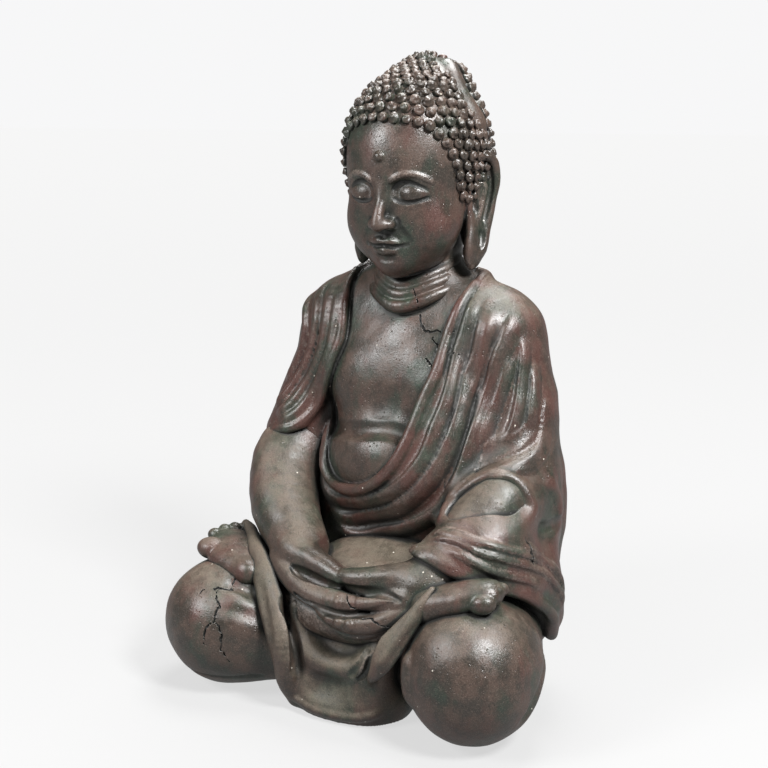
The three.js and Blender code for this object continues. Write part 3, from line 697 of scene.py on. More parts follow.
right_foot = blend(
    1.5, right_foot_plain,
    egg((163, -167, 159), (14, 10, 10.5), (0, -14, 14)),
    egg((169, -159, 166), (8.5, 7, 7.5), (0, -14, 8)),
    egg((172, -151, 168), (7.5, 6.5, 7)),
    egg((173, -143, 169), (7, 6, 6.5)))

# Apron of cloth that falls from the lap to the ground, with a strip of hem at each side
apron_plain = blend(
    16,
    egg((-4, -134, 20), (72, 54, 46)),
    egg((-2, -112, 84), (64, 54, 44), (20, 0, 0)),
    limb([(-50, -146, 96, 22), (-40, -158, 62, 22), (-32, -156, 26, 26)]),
    limb([(44, -154, 92, 20), (36, -160, 56, 22), (28, -156, 26, 24)]),
    limb([(-56, -168, 116, 6), (-51, -171, 92, 8), (-40, -175, 76, 9), (-22, -176, 65, 10),
          (0, -174, 61, 10), (24, -175, 65, 9), (46, -180, 80, 7)]))
left_strip = band(
    [(-186, -76, 160, 6, 5), (-160, -102, 162, 9, 6), (-132, -134, 158, 12, 7),
     (-104, -160, 142, 16, 8), (-82, -178, 118, 19, 8), (-68, -187, 92, 18, 9),
     (-60, -188, 66, 16, 10), (-60, -180, 38, 15, 12), (-56, -164, 12, 15, 15)],
    (-0.35, -0.9, 0.35))
right_strip = band(
    [(110, -172, 166, 4, 4), (104, -178, 154, 6, 5), (92, -184, 133, 10, 5.5),
     (74, -192, 106, 14, 6), (65, -195, 88, 12, 6), (57, -193, 74, 8, 5.5), (48, -188, 61, 4, 4.5),
     (42, -174, 50, 3, 4)], (0.2, -0.93, 0.3))
draped_apron = blend(7, apron_plain, left_strip, right_strip)
apron = carved(draped_apron, [
    # Groove beside the left strip, the strip's turned edges, and the slits on the right
    ([(-66, -180, 134), (-60, -182, 110), (-52, -186, 88), (-46, -188, 66), (-48, -188, 44)],
     9, -7, 0.2),
    ([(-104, -162, 144), (-84, -180, 118), (-70, -190, 90), (-63, -192, 64)], 9, -3, 0.3),
    ([(34, -186, 98), (35, -188, 88), (32, -190, 76), (26, -190, 64), (19, -190, 54)],
     5.5, -10, 0.2),
    ([(40, -188, 95), (38, -192, 80), (33, -192, 66), (26, -190, 52)], 4.5, 5, 0.3),
    ([(45, -190, 94), (42, -192, 76), (36, -191, 62), (29, -190, 52)], 4.5, -8, 0.25),
    ([(100, -184, 147), (86, -192, 122), (72, -200, 98), (60, -198, 78)], 7, 4, 0.25),
    ([(-40, -184, 40), (-10, -186, 34), (22, -184, 36)], 20, -5, 0.35),
    ([(-62, -176, 20), (-36, -186, 11), (0, -190, 8), (34, -184, 12), (58, -168, 22)], 8, 4, 0.2)])

# Robe: a layer over the left side and the back, open over the chest and belly
OPENING = [(-95, 520), (-100, 420), (-95, 350), (-92, 290), (-82, 245), (-66, 228), (-42, 226),
           (-14, 236), (15, 254), (31, 278), (38, 305), (46, 336), (53, 366), (60, 402), (66, 429),
           (72, 456), (76, 520)]
ROBE = 6
draped = blend(26, trunk_plain, left_upper_arm, egg((44, -36, 262), (66, 52, 84)))
over_draped = thickened(draped, ROBE)
RIM = [(76, -10, 457), (68, -33, 432), (62, -48, 402), (56, -58, 364), (49, -70, 336),
       (42, -84, 306), (31, -92, 276), (11, -96, 251), (-16, -96, 233), (-44, -89, 225),
       (-70, -74, 228), (-86, -56, 248), (-92, -30, 290)]
FOLDS = [
    [(84, -8, 452), (80, -34, 424), (73, -44, 391), (69, -56, 350), (63, -72, 312), (54, -90, 276),
     (30, -98, 246), (-10, -93, 222), (-42, -86, 212), (-70, -70, 214), (-92, -42, 236)],
    [(99, -8, 446), (94, -40, 404), (87, -48, 362), (82, -60, 326), (76, -78, 290), (60, -92, 254),
     (26, -92, 222), (-13, -86, 202), (-46, -76, 192), (-76, -58, 196)],
    [(118, 4, 430), (112, -44, 372), (108, -56, 330), (102, -76, 294), (95, -90, 258),
     (76, -93, 224), (39, -90, 198), (-5, -84, 184), (-40, -76, 176), (-70, -56, 180)]]
BELLY = (-30, -60, 300)
robe_marks = pleats(FOLDS, (8.5, 8.5, 9), BELLY, over_draped, 0.12)
# Loose folds that fall from the left shoulder
SHOULDER_FOLDS = [
    [(107, -22, 430), (103, -42, 408), (99, -46, 382), (94, -50, 356), (92, -60, 334)],
    [(119, -40, 398), (112, -46, 377), (106, -50, 350), (104, -64, 318), (100, -76, 290)],
    [(129, -31, 388), (124, -40, 364), (119, -48, 341), (113, -59, 310), (110, -70, 286)],
    [(136, -19, 407), (141, -27, 378), (141, -36, 350), (138, -46, 317), (132, -58, 292)],
    [(147, -12, 382), (152, -23, 352), (153, -33, 328), (154, -40, 308)]]
robe_marks += pleats(SHOULDER_FOLDS, (7.5, 8.5, 8.5, 8.5, 7.5), BELLY, over_draped, 0.3, 5.5, 14)
# Folds that hang across the back, from the left shoulder to under the right arm
for row in range(6):
    left_z, right_z = 420 - 38 * row, 352 - 42 * row
    across = [(96 - 40 * i, 92 - 8 * abs(i - 2.4), left_z + (right_z - left_z) * i / 5
               - 34 * math.sin(math.pi * i / 5)) for i in range(6)]
    robe_marks.append(pleat(across, 6, (-40, 60, 470), over_draped, 0.25, 7, 18))
rim = roll(RIM, 6.5, over_draped, 0)
nape = roll([(80, -4, 456), (72, 24, 458), (50, 48, 456), (0, 60, 450), (-50, 48, 456),
             (-70, 24, 458), (-77, -4, 456)], 6, over_draped, 3, 6)
robe_folded = marked(over_draped, robe_marks, (0, 0, 250), 300)


def robe_form(p):
    front = np.maximum(inside_polygon(OPENING, p[:, 0], p[:, 2]), p[:, 1] - 20)
    throat = np.maximum(np.hypot(p[:, 0], p[:, 1] - 12) - 62, 436 + 0.3 * p[:, 1] - p[:, 2])
    d = soft_max(robe_folded(p), -np.minimum(front, throat), 3)
    return soft_min(soft_min(d, rim(p), 4), nape(p), 8)


robe = Body(robe_form, (0, 0, 250), 300)

# Shawl over the right shoulder
SHAWL_AREA = [(-70, 540), (-77, 442), (-70, 415), (-67, 386), (-77, 356), (-96, 308), (-112, 282),
              (-133, 274), (-170, 268), (-290, 262), (-290, 540)]
SHAWL_EDGE = [(-76, 0, 456), (-73, -30, 420), (-71, -46, 390), (-78, -50, 358), (-95, -50, 324),
              (-108, -55, 298), (-128, -64, 282), (-158, -62, 274)]
SHAWL_FOLDS = [
    [(-86, -2, 452), (-80, -44, 404), (-86, -52, 364), (-104, -52, 326), (-122, -62, 298),
     (-150, -66, 282)],
    [(-97, 0, 446), (-92, -46, 402), (-99, -51, 366), (-115, -50, 334), (-132, -56, 306),
     (-156, -58, 290)],
    [(-112, 2, 438), (-106, -42, 402), (-116, -45, 364), (-129, -46, 338), (-146, -50, 314),
     (-162, -46, 298)],
    [(-126, 6, 424), (-124, -30, 392), (-134, -36, 358), (-150, -34, 326)]]
SHAWL = 8
shoulder_and_arm = blend(24, trunk, right_upper_arm)
over_shoulder = thickened(shoulder_and_arm, SHAWL)
shawl_marks = pleats(SHAWL_FOLDS, (8, 8, 8, 6), BELLY, over_shoulder, 0.15, 5.5, 12)
shawl_edge = roll(SHAWL_EDGE, 5, over_shoulder, 1)
shawl_folded = marked(over_shoulder, shawl_marks, (-110, 0, 350), 200)


def shawl_form(p):
    d = soft_max(shawl_folded(p), inside_polygon(SHAWL_AREA, p[:, 0], p[:, 2]), 3)
    return soft_min(d, shawl_edge(p), 4)


shawl = Body(shawl_form, (-110, 0, 350), 190)

# Left sleeve: a heavy drape from the shoulder to behind the knee. Its mouth leaves the elbow
# bare, and its hem hangs clear of the knee.
sleeve_mass = blend(
    20,
    limb([(100, 14, 386, 28), (116, 8, 330, 38), (124, 0, 258, 47), (126, 0, 230, 48),
          (132, 4, 150, 42), (134, 8, 72, 28)]),
    limb([(128, -24, 244, 50), (130, -66, 216, 48), (122, -104, 187, 47), (102, -128, 176, 38),
          (88, -142, 170, 30)]),
    limb([(144, -14, 206, 33), (160, -40, 172, 30), (166, -46, 136, 33), (162, -30, 106, 32)]),
    limb([(134, -96, 190, 44), (154, -80, 156, 38)]))
MOUTH_PATH = [(94, -118, 222), (93, -104, 233), (101, -90, 247), (110, -88, 255), (120, -87, 261),
              (136, -84, 266), (150, -78, 265), (160, -74, 258), (168, -73, 248), (173, -72, 236),
              (171, -80, 226), (163, -98, 220), (150, -110, 218), (133, -120, 220),
              (110, -125, 220), (94, -118, 222)]
mouth = limb([(142, -92, 246, 25), (122, -106, 240, 22), (100, -122, 227, 13)])
mouth_rim = limb([p + (6,) for p in MOUTH_PATH], 3)
# The hem runs along the lap to the knee, then hangs down behind it
HEM = [(78, -144, 193), (90, -151, 195), (104, -153, 192), (121, -153, 184), (138, -145, 174),
       (152, -133, 166), (168, -116, 158), (182, -98, 148), (191, -78, 133), (194, -58, 114),
       (188, -42, 95), (184, -34, 84)]
FRONT_SLOPE, FRONT_OFFSET = np.array([0.264, 0.253, 0.931]), 161
BEHIND_SLOPE, BEHIND_OFFSET = np.array([0, 0.729, 0.685]), 30
hem = limb([p + (6.5,) for p in HEM])


def sleeve_shape(p):
    cut = soft_min(FRONT_OFFSET - p @ FRONT_SLOPE, BEHIND_OFFSET - p @ BEHIND_SLOPE, 8)
    return soft_min(soft_max(sleeve_mass(p), cut, 3), hem(p), 6)


def opened_sleeve(p):
    return soft_min(soft_max(sleeve_plain(p), -mouth(p), 3), mouth_rim(p), 9)


sleeve_plain = Body(sleeve_shape, (130, -30, 220), 260)
sleeve_open = Body(opened_sleeve, (130, -30, 220), 260)
SWAG = [(165, -4, 340), (167, -14, 326), (169, -25, 306), (166, -40, 291), (156, -57, 282),
        (136, -72, 275), (117, -85, 266), (100, -93, 257), (86, -96, 250)]
KNEE = (150, -150, 90)
# Thin folds along the cuff: points, height, fade, and the widths of the steep and gentle sides
CUFF_FOLDS = [
    ([(88, -134, 208), (105, -138, 214), (122, -138, 213), (140, -135, 208), (155, -124, 202),
      (170, -106, 194), (180, -90, 184), (188, -66, 168)], 5, 0.15, 3.5, 9),
    ([(92, -142, 206), (108, -143, 209), (124, -142, 208), (141, -138, 201), (155, -128, 195),
      (168, -112, 187), (180, -94, 176), (188, -72, 160), (194, -48, 136), (194, -34, 116)],
     5.5, 0.15, 3.5, 9),
    ([(110, -148, 200), (130, -145, 196), (148, -137, 186), (166, -119, 175), (182, -97, 162),
      (190, -78, 148)], 4.5, 0.25, 3.5, 9),
    ([(165, -111, 205), (177, -92, 194), (186, -72, 178), (192, -48, 154), (194, -34, 130)],
     5, 0.3, 4, 10)]
sleeve_marks = [
    # Swag of cloth that falls from the shoulder across the elbow, with a hollow above it
    pleat(SWAG, 11, (60, -60, 340), sleeve_plain, 0.12, 7, 16),
    Mark([(158, -26, 318), (148, -44, 304), (134, -54, 294), (118, -62, 286), (100, -70, 276)],
         15, -8, sleeve_plain, fade=0.25),
    Mark([(172, -34, 284), (164, -54, 272), (146, -68, 267), (124, -80, 262), (104, -90, 254)], 7,
         5, sleeve_plain, fade=0.2),
    *[pleat(points, height, KNEE, sleeve_plain, *widths)
      for points, height, *widths in CUFF_FOLDS],
    Mark([(172, -44, 262), (178, -28, 244), (180, -16, 222), (180, -14, 200)], 12, 6,
         sleeve_plain, fade=0.3),
    Mark([(186, -66, 212), (184, -48, 206), (178, -28, 204), (168, -6, 204)], 10, -5,
         sleeve_plain, fade=0.25),
    Mark([(166, 20, 300), (172, 16, 250), (172, 12, 200), (166, 14, 150)], 14, 5, sleeve_plain,
         fade=0.3)]
sleeve = marked(sleeve_open, sleeve_marks)


# The skin, in closed pieces that meet in the figure's own creases

UNDERSIDE_Z = 0.3
NECK_END_Z = 416
head = cut_below(blend(1.5, face, hair, ears, blend(3, neck, *neck_folds)), NECK_END_Z)
# A ball fills the pinhole where the robe and the sleeve meet
robe_and_sleeve = blend(14, robe, sleeve, ball((80, -89, 207), 5))
dressed = cut_below(blend(3, trunk, robe_and_sleeve, shawl, right_upper_arm), UNDERSIDE_Z)
SEAM_X = 78


def right_of_seam(p):
    return soft_max(dressed(p), p[:, 0] - SEAM_X - 4, 1)


def left_of_seam(p):
    return soft_max(dressed(p) + 0.15, SEAM_X - 4 - p[:, 0], 1)


torso = reshaped(dressed, right_of_seam)
left_side = reshaped(dressed, left_of_seam)
arms_plain = blend(1, blend(10, right_forearm, right_hand), blend(8, left_forearm, left_hand))
# Gaps under the thumbs and between the fingers
finger_gaps = blend(1, *[limb(path) for path in (
    [(-60, -168, 158, 2.5), (-53, -169, 155, 5.5), (-36, -171, 151, 7.5), (-17, -172, 148, 7),
     (-2, -174, 150, 3.5)],
    [(4, -174, 151, 2), (15, -176, 151, 4), (36, -177, 151, 4.5), (60, -179, 154, 4),
     (76, -180, 151, 2)],
    [(-46, -180, 136, 3), (-13, -189, 129, 4.5), (12, -190, 127, 4), (31, -187, 129, 3),
     (62, -187, 142, 3), (75, -181, 152, 2)])])
bare_arms = reshaped(arms_plain, lambda p: soft_max(arms_plain(p), -finger_gaps(p), 4))
seat = cut_below(seat_body, UNDERSIDE_Z)
skirt = cut_below(apron, UNDERSIDE_Z)
soles = blend(1, left_foot, right_foot)
whole = blend(2, head, dressed, bare_arms, seat, skirt, soles)


def placed(name, data):
    made = bpy.data.objects.new(name, data)
    bpy.context.scene.collection.objects.link(made)
    return made


def normals_of(mesh):
    flat = np.empty(len(mesh.vertices) * 3, np.float32)
    mesh.vertex_normals.foreach_get("vector", flat)
    return flat.reshape(-1, 3).astype(float)


def points_of(mesh):
    return np.array([v.co for v in mesh.vertices]) / MM


def keep_per_point(mesh, name, values):
    mesh.attributes.new(name, "FLOAT", "POINT").data.foreach_set(
        "value", values.astype(np.float32))


# How far from level dust still lies, how thick it is, how much the edges are rubbed and given a
# painted highlight, and how thick the dust is near the lap
DUSTY = {"head": (-0.35, 0.5, 1, 1), "hair_curls": (-0.3, 0.7, 0.3, 1),
         "torso_and_robe": (-0.2, 0.45, 1, 1), "left_sleeve": (0.0, 0.6, 1, 1),
         "forearms_and_hands": (0.12, 0.68, 0.8, 0.15), "legs": (-0.1, 0.75, 1, 1),
         "apron": (0.5, 0.9, 1, 0.9), "feet": (0.0, 0.5, 1, 0.5)}
# How far out and in from a point the form is felt, to tell hollows from edges
WIDE_LOOK, NEAR_LOOK, INWARD_LOOK = 15, 4, 5
LAP_Y, LAP_REACH, LAP_TOP_Z = -100, 70, 180


def weather(mesh, points, dusty):
    """Stores, for the patina with its painted shade and highlights, how shut in, how exposed and
    how dusty each point is.
    """
    out = normals_of(mesh)
    wide, near = (np.clip(sample(whole, points + out * look) / look, 0, 1)
                  for look in (WIDE_LOOK, NEAR_LOOK))
    thin = np.clip(1 + sample(whole, points - out * INWARD_LOOK) / INWARD_LOOK, 0, 1)
    lean, thick, rubbing_and_highlight, thick_in_lap = dusty
    # How shut in a point is: the patina darkens hollows by it as painted shade, and gathers green
    # there
    keep_per_point(mesh, "recess", 1 - near * (0.55 + 0.45 * wide))
    # How thin and exposed a point is: edges rubbed lighter, partly wear and partly a painted
    # highlight
    keep_per_point(mesh, "edge", thin * near * rubbing_and_highlight)
    from_lap = np.hypot(points[:, 0], points[:, 1] - LAP_Y) / LAP_REACH
    lap_share = smooth(1.6 - from_lap) * (points[:, 2] < LAP_TOP_Z)
    thick = thick + (thick_in_lap - thick) * lap_share
    keep_per_point(mesh, "dust", thick * smooth((out[:, 2] + lean - 0.1) / 0.8) * (
        0.5 + 0.5 * wide))
    cloth = np.minimum(np.minimum(sample(robe, points), sample(sleeve, points)),
                       sample(shawl, points))
    keep_per_point(mesh, "robe", smooth(1.5 - np.abs(cloth) / 4))


# A cast skin is never quite even: a sum of slow waves moves it a little in and out
WAVES = 36
SHORTEST_WAVE, LONGEST_WAVE = 13, 70
UNEVEN = 0.055
waves = rng.normal(size=(WAVES, 3))
waves *= (2 * math.pi / rng.uniform(SHORTEST_WAVE, LONGEST_WAVE, WAVES) / length(waves))[:, None]
wave_start = rng.uniform(0, 2 * math.pi, WAVES)


def uneven(points):
    size = UNEVEN * np.sqrt(0.2 / length(waves))
    return np.sin(points @ waves.T + wave_start) @ size


CRACKS = [
    [(17, -41, 449), (24, -44, 431), (25, -42, 416), (35, -45, 405), (50, -44, 405),
     (71, -49, 407)],
    [(44, -46, 398), (53, -47, 386), (67, -55, 385), (83, -50, 382)],
    [(39, -54, 375), (46, -53, 368), (62, -64, 360)],
    [(-166, -203, 120), (-158, -198, 128), (-143, -193, 131), (-134, -186, 134), (-128, -172, 140),
     (-128, -160, 146)],
    [(-142, -195, 130), (-140, -200, 122), (-133, -204, 112), (-135, -209, 104), (-134, -211, 97)],
    [(-135, -211, 99), (-126, -210, 86), (-127, -208, 66), (-121, -202, 50)],
    [(-134, -210, 100), (-143, -213, 88), (-146, -212, 70)],
    [(16, -182, 146), (26, -190, 138), (44, -188, 131), (58, -186, 124), (76, -186, 122)],
    [(170, -96, 208), (173, -95, 190), (168, -92, 176)],
    [(186, -104, 112), (200, -96, 100), (208, -92, 92)]]
crack_paths = []
for points in CRACKS:
    path = settle(trace(points, 5), whole)
    path[1:-1] += rng.normal(scale=0.9, size=(len(path) - 2, 3))
    crack_paths.append(path)
CRACK_WIDTH = 1.35
CRACK_DEPTH = 2.2
CRACKED = {"head", "torso_and_robe", "left_sleeve", "forearms_and_hands", "legs"}


def open_cracks(mesh):
    """Splits the faces near each crack finely, and sinks the points along it."""
    points = points_of(mesh)
    low, high = points.min(axis=0), points.max(axis=0)
    paths = [p for p in crack_paths if ((p > low - 3) & (p < high + 3)).all(axis=1).any()]
    for cuts, reach in ((3, 4.5), (1, 2.2)):
        work = bmesh.new()
        work.from_mesh(mesh)
        points = np.array([v.co for v in work.verts]) / MM
        away = np.min([nearest(p, points)[0] for p in paths], axis=0) if paths else None
        if away is None or away.min() > 3:
            work.free()
            return
        near = np.flatnonzero(away < reach)
        work.verts.ensure_lookup_table()
        edges = {e for i in near for e in work.verts[i].link_edges}
        bmesh.ops.subdivide_edges(work, edges=list(edges), cuts=cuts, use_grid_fill=True)
        work.to_mesh(mesh)
        work.free()
    mesh.update()
    points = points_of(mesh)
    away, along = np.full(len(points), 99.0), np.zeros(len(points))
    for p in paths:
        d, t, _, _ = nearest(p, points)
        closer = d < away
        away[closer], along[closer] = d[closer], t[closer]
    width = CRACK_WIDTH * (0.35 + 0.65 * np.sin(math.pi * np.clip(along, 0.02, 0.98)))
    sunk = np.maximum(1 - (away / width) ** 2, 0)
    points -= normals_of(mesh) * (CRACK_DEPTH * sunk)[:, None]
    mesh.vertices.foreach_set("co", (points * MM).ravel())
    keep_per_point(mesh, "crack", sunk)


def add_piece(name, points, faces):
    mesh = bpy.data.meshes.new(name)
    mesh.from_pydata((points * MM).tolist(), [], [list(f) for f in faces])
    mesh.update()
    points = points + normals_of(mesh) * uneven(points)[:, None]
    points = np.clip(points, *(np.array(corner) / MM for corner in cad_box))
    mesh.vertices.foreach_set("co", (points * MM).ravel())
    mesh.update()
    if name in CRACKED:
        open_cracks(mesh)
    mesh.polygons.foreach_set("use_smooth", np.ones(len(mesh.polygons), bool))
    mesh.update()
    weather(mesh, points_of(mesh), DUSTY[name])
    piece = placed(name, mesh)
    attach(piece, "root")
    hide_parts("buddha_figure")
    return piece


pieces = [add_piece(name, *skin(body, low, high, cell)) for name, body, low, high, cell in (
    ("head", head, (-97, -114, 413), (97, 107, 705), 1.6),
    ("torso_and_robe", torso, (-204, -184, -4), (90, 114, 504), 2.6),
    ("left_sleeve", left_side, (66, -178, -4), (210, 100, 486), 2.2),
    ("forearms_and_hands", bare_arms, (-200, -205, 95), (190, 40, 312), 1.85),
    ("legs", seat, (-245, -235, -4), (225, 120, 190), 3.0),
    ("apron", skirt, (-195, -225, -4), (125, -60, 180), 2.0),
    ("feet", soles, (-225, -200, 100), (205, -50, 180), 1.6))]


# Hair: small snail-shell curls, in rows over the cap and the crown

scalp = blend(1.5, face, hair_plain)
CURL_SPACING = 12.0
CURL_SIZE = 6.6
CLEAR_OF_STRIP = 12.5
HAIR_MIDDLE = np.array([0, 9, 600])


def out_to_hair(directions):
    """Where rays from the middle of the head leave the hair."""
    reach = np.full(len(directions), 120.0)
    for _ in range(40):
        reach = reach - 0.8 * scalp(HAIR_MIDDLE + directions * reach[:, None])
    return HAIR_MIDDLE + directions * reach[:, None]


def moved_to_hair(points):
    toward = points - HAIR_MIDDLE
    return out_to_hair(toward / length(toward)[:, None])


def run_along(points):
    return np.concatenate([[0], np.cumsum(length(np.diff(points, axis=0)))])


def above_hairline(points):
    return points[:, 2] > hairline_at(points[:, 0], points[:, 1] - HEAD_BACK) + 5


def curl_places():
    profile_angle = np.linspace(0, 2.35, 400)
    side = np.stack([np.sin(profile_angle), 0 * profile_angle, np.cos(profile_angle)], 1)
    profile = out_to_hair(side)
    run = run_along(profile)
    rings = []
    for row, travelled in enumerate(np.arange(0, run[-1], CURL_SPACING * 0.87)):
        angle = np.interp(travelled, run, profile_angle)
        around = 2 * math.pi * length(profile[np.searchsorted(run, travelled)][None, :2])[0]
        count = max(1, round(around / CURL_SPACING))
        bearing = (np.arange(count) + 0.5 * (row % 2)) * 2 * math.pi / count
        rings.append(np.stack([np.sin(angle) * np.sin(bearing), -np.sin(angle) * np.cos(bearing),
                               np.full(count, np.cos(angle))], 1))
    loose = out_to_hair(np.concatenate(rings))
    # One row follows the hairline
    line = trace(mirrored(HAIRLINE[:0:-1].tolist()) + HAIRLINE.tolist(), 24)
    line = moved_to_hair(line + [0, HEAD_BACK, 4])
    run = run_along(line)
    count = round(run[-1] / CURL_SPACING)
    at = np.linspace(0, run[-1], count)
    edge = np.stack([np.interp(at, run, line[:, i]) for i in range(3)], 1)
    gap = length_between(loose, edge).min(axis=1)
    loose = loose[above_hairline(loose) & (gap > CURL_SPACING * 0.7)]
    # Even out the rest by letting neighbours push each other away
    for _ in range(30):
        others = np.concatenate([loose, edge])
        apart = loose[:, None] - others[None]
        far = np.sqrt((apart ** 2).sum(-1)) + 1e-9
        push = np.where(far < 1e-6, 0, np.maximum(CURL_SPACING * 1.15 - far, 0) / far)
        loose = moved_to_hair(loose + 0.12 * (apart * push[..., None]).sum(1))
        loose = loose[above_hairline(loose)]
    return np.concatenate([loose, edge])


def length_between(a, b):
    return np.sqrt(((a[:, None] - b[None]) ** 2).sum(-1))


def snail(around=18, rings=8):
    """A unit curl: a bead with a groove that winds up it, closed underneath."""
    points, faces = [(0, 0, 0.94)], []
    for ring in range(1, rings + 1):
        tilt = ring / rings * 2.1
        for k in range(around):
            turn = 2 * math.pi * k / around
            groove = 0.5 - 0.5 * math.cos(2 * math.pi * 0.85 * tilt - turn)
            r = 1 - 0.27 * groove * min(1, 2 * tilt)
            points.append((r * math.sin(tilt) * math.cos(turn), r * math.sin(tilt) * math.sin(turn),
                           r * math.cos(tilt)))
    points.append((0, 0, -0.7))
    last = len(points) - 1
    for k in range(around):
        n = (k + 1) % around
        faces.append((0, 1 + k, 1 + n, 1 + n))
        for ring in range(rings - 1):
            a, b = 1 + ring * around, 1 + (ring + 1) * around
            faces.append((a + k, b + k, b + n, a + n))
        a = 1 + (rings - 1) * around
        faces.append((a + n, a + k, last, last))
    return np.array(points), faces


def make_curls():
    unit, unit_faces = snail()
    places = curl_places()
    strip = trace(BARE_STRIP, 8)
    places = places[length_between(places, strip).min(axis=1) > CLEAR_OF_STRIP]
    outward = slope(scalp, places)
    points, faces = [], []
    for place, up in zip(places, outward):
        up = up / np.linalg.norm(up)
        side = np.cross(up, rng.normal(size=3))
        side /= np.linalg.norm(side)
        basis = np.stack([side, np.cross(up, side), up])
        size = CURL_SIZE * rng.uniform(0.9, 1.06)
        hand = rng.choice([-1, 1])
        bead = unit * [size * hand, size, size * rng.uniform(0.95, 1.15)]
        start = len(points) * len(unit)
        points.append(place + up * 0.6 + bead @ basis)
        for f in unit_faces:
            faces.append([start + v for v in (f if hand > 0 else f[::-1])])
    return np.concatenate(points), [list(dict.fromkeys(f)) for f in faces]


pieces.append(add_piece("hair_curls", *make_curls()))


# Patina: a dark brown cast skin with red, green, dust, rubbed edges, pits and specks; painted shade
# in hollows and cracks, and a painted highlight on the rubbed edges

patina = bpy.data.materials.new("patinated_cast_weathered")
patina.use_nodes = True
tree = patina.node_tree
shader = tree.nodes["Principled BSDF"]
place = tree.nodes.new("ShaderNodeTexCoord").outputs["Object"]


def feed(socket, value):
    if isinstance(value, bpy.types.NodeSocket):
        tree.links.new(value, socket)
    else:
        socket.default_value = value


def node(kind, inputs, **settings):
    """A node in the material that is being made."""
    made = tree.nodes.new("ShaderNode" + kind)
    for name, value in settings.items():
        setattr(made, name, value)
    for name, value in inputs.items():
        feed(made.inputs[name], value)
    return made


def noise(scale, detail=4, rough=0.6, stretch=None):
    where = place
    if stretch:
        where = node("Mapping", {"Scale": stretch, "Vector": place}).outputs["Vector"]
    return node("TexNoise", {"Vector": where, "Scale": scale, "Detail": detail,
                             "Roughness": rough}).outputs["Fac"]


def maths(kind, *values):
    return node("Math", dict(enumerate(values)), operation=kind).outputs[0]


def weighted(*terms):
    """The sum of values, each times its weight."""
    total = None
    for value, weight in reversed(terms):
        term = maths("MULTIPLY", value, weight)
        total = term if total is None else maths("ADD", term, total)
    return total


def ramp(value, low, high, start=0.0, end=1.0):
    return node("MapRange", {"Value": value, "From Min": low, "From Max": high, "To Min": start,
                             "To Max": end}, interpolation_type="SMOOTHSTEP").outputs["Result"]


def cells(scale):
    spread = node("TexVoronoi", {"Vector": place, "Scale": scale}).outputs
    return spread["Distance"], node("SeparateColor", {"Color": spread["Color"]}).outputs[0]


DARK_BROWN = (0.033, 0.026, 0.020, 1)
WARM_BROWN = (0.068, 0.044, 0.033, 1)
OXIDE_RED = (0.082, 0.029, 0.023, 1)
GREEN_BLACK = (0.014, 0.028, 0.018, 1)
VERDIGRIS = (0.042, 0.068, 0.046, 1)
# Near black: soot in the specks, and painted shade in hollows, creases and cracks
SOOT_AND_PAINTED_SHADE = (0.005, 0.0045, 0.004, 1)
DUST = (0.150, 0.124, 0.088, 1)
# Pale worn brown: rubbed edges and light specks, and a painted highlight along the crests
RUBBED_AND_PAINTED_HIGHLIGHT = (0.210, 0.165, 0.140, 1)
CHALK = (0.62, 0.58, 0.50, 1)

recess, edge, dust, robe_part, crack = [
    node("Attribute", {}, attribute_name=name).outputs["Fac"]
    for name in ("recess", "edge", "dust", "robe", "crack")]
patches = noise(11, 3)
clouds = noise(34, 5, 0.65)
mottle = noise(120, 5, 0.7)
grain = noise(520, 4, 0.7)
speckle = noise(760, 3, 0.7)
brushed = noise(60, 4, 0.6, (1.0, 1.0, 0.22))
green_patches = noise(17, 4, 0.6, (1.3, 1.1, 0.9))

red_share = weighted((robe_part, 0.10), (patches, 0.6), (brushed, 0.4))
green_share = maths("ADD", green_patches, maths("MULTIPLY", recess, 0.22))
verdigris_share = maths("MULTIPLY", ramp(green_share, 0.54, 0.76, 0.0, 0.6),
                        ramp(mottle, 0.46, 0.64))
dusty = maths("MULTIPLY", dust, ramp(weighted((clouds, 0.5), (mottle, 0.5)), 0.36, 0.64, 0.55))
rubbed_and_highlight = maths("MULTIPLY", edge, ramp(maths("ADD", mottle, grain), 0.84, 1.12))
speck_far, speck_pick = cells(105)
specks = maths("MULTIPLY", ramp(speck_far, 0.13, 0.05), ramp(speck_pick, 0.90, 0.92))

# Layers of colour from the bottom up, each with how much of it shows
colour = DARK_BROWN
for share, paint in (
        (ramp(clouds, 0.40, 0.60), WARM_BROWN),
        (ramp(red_share, 0.49, 0.68, 0.0, 0.7), OXIDE_RED),
        (ramp(green_share, 0.50, 0.69, 0.0, 0.8), GREEN_BLACK),
        (verdigris_share, VERDIGRIS),
        (ramp(dusty, 0.05, 0.95, 0.0, 0.72), DUST),
        # Rubbed edges, partly wear and partly a painted highlight on the crests
        (ramp(rubbed_and_highlight, 0.15, 0.8, 0.0, 0.78), RUBBED_AND_PAINTED_HIGHLIGHT),
        (ramp(speckle, 0.52, 0.70, 0.0, 0.6), SOOT_AND_PAINTED_SHADE),
        (ramp(speckle, 0.47, 0.30, 0.0, 0.38), RUBBED_AND_PAINTED_HIGHLIGHT),
        # Painted shade: hollows and creases darkened almost to black, and the cracks painted near
        # black
        (ramp(recess, 0.28, 0.82, 0.0, 0.92), SOOT_AND_PAINTED_SHADE),
        (ramp(crack, 0.05, 0.5), SOOT_AND_PAINTED_SHADE),
        (specks, CHALK)):
    mixed = node("Mix", {"Factor": share, "A": colour, "B": paint}, data_type="RGBA")
    colour = mixed.outputs["Result"]
feed(shader.inputs["Base Color"], colour)

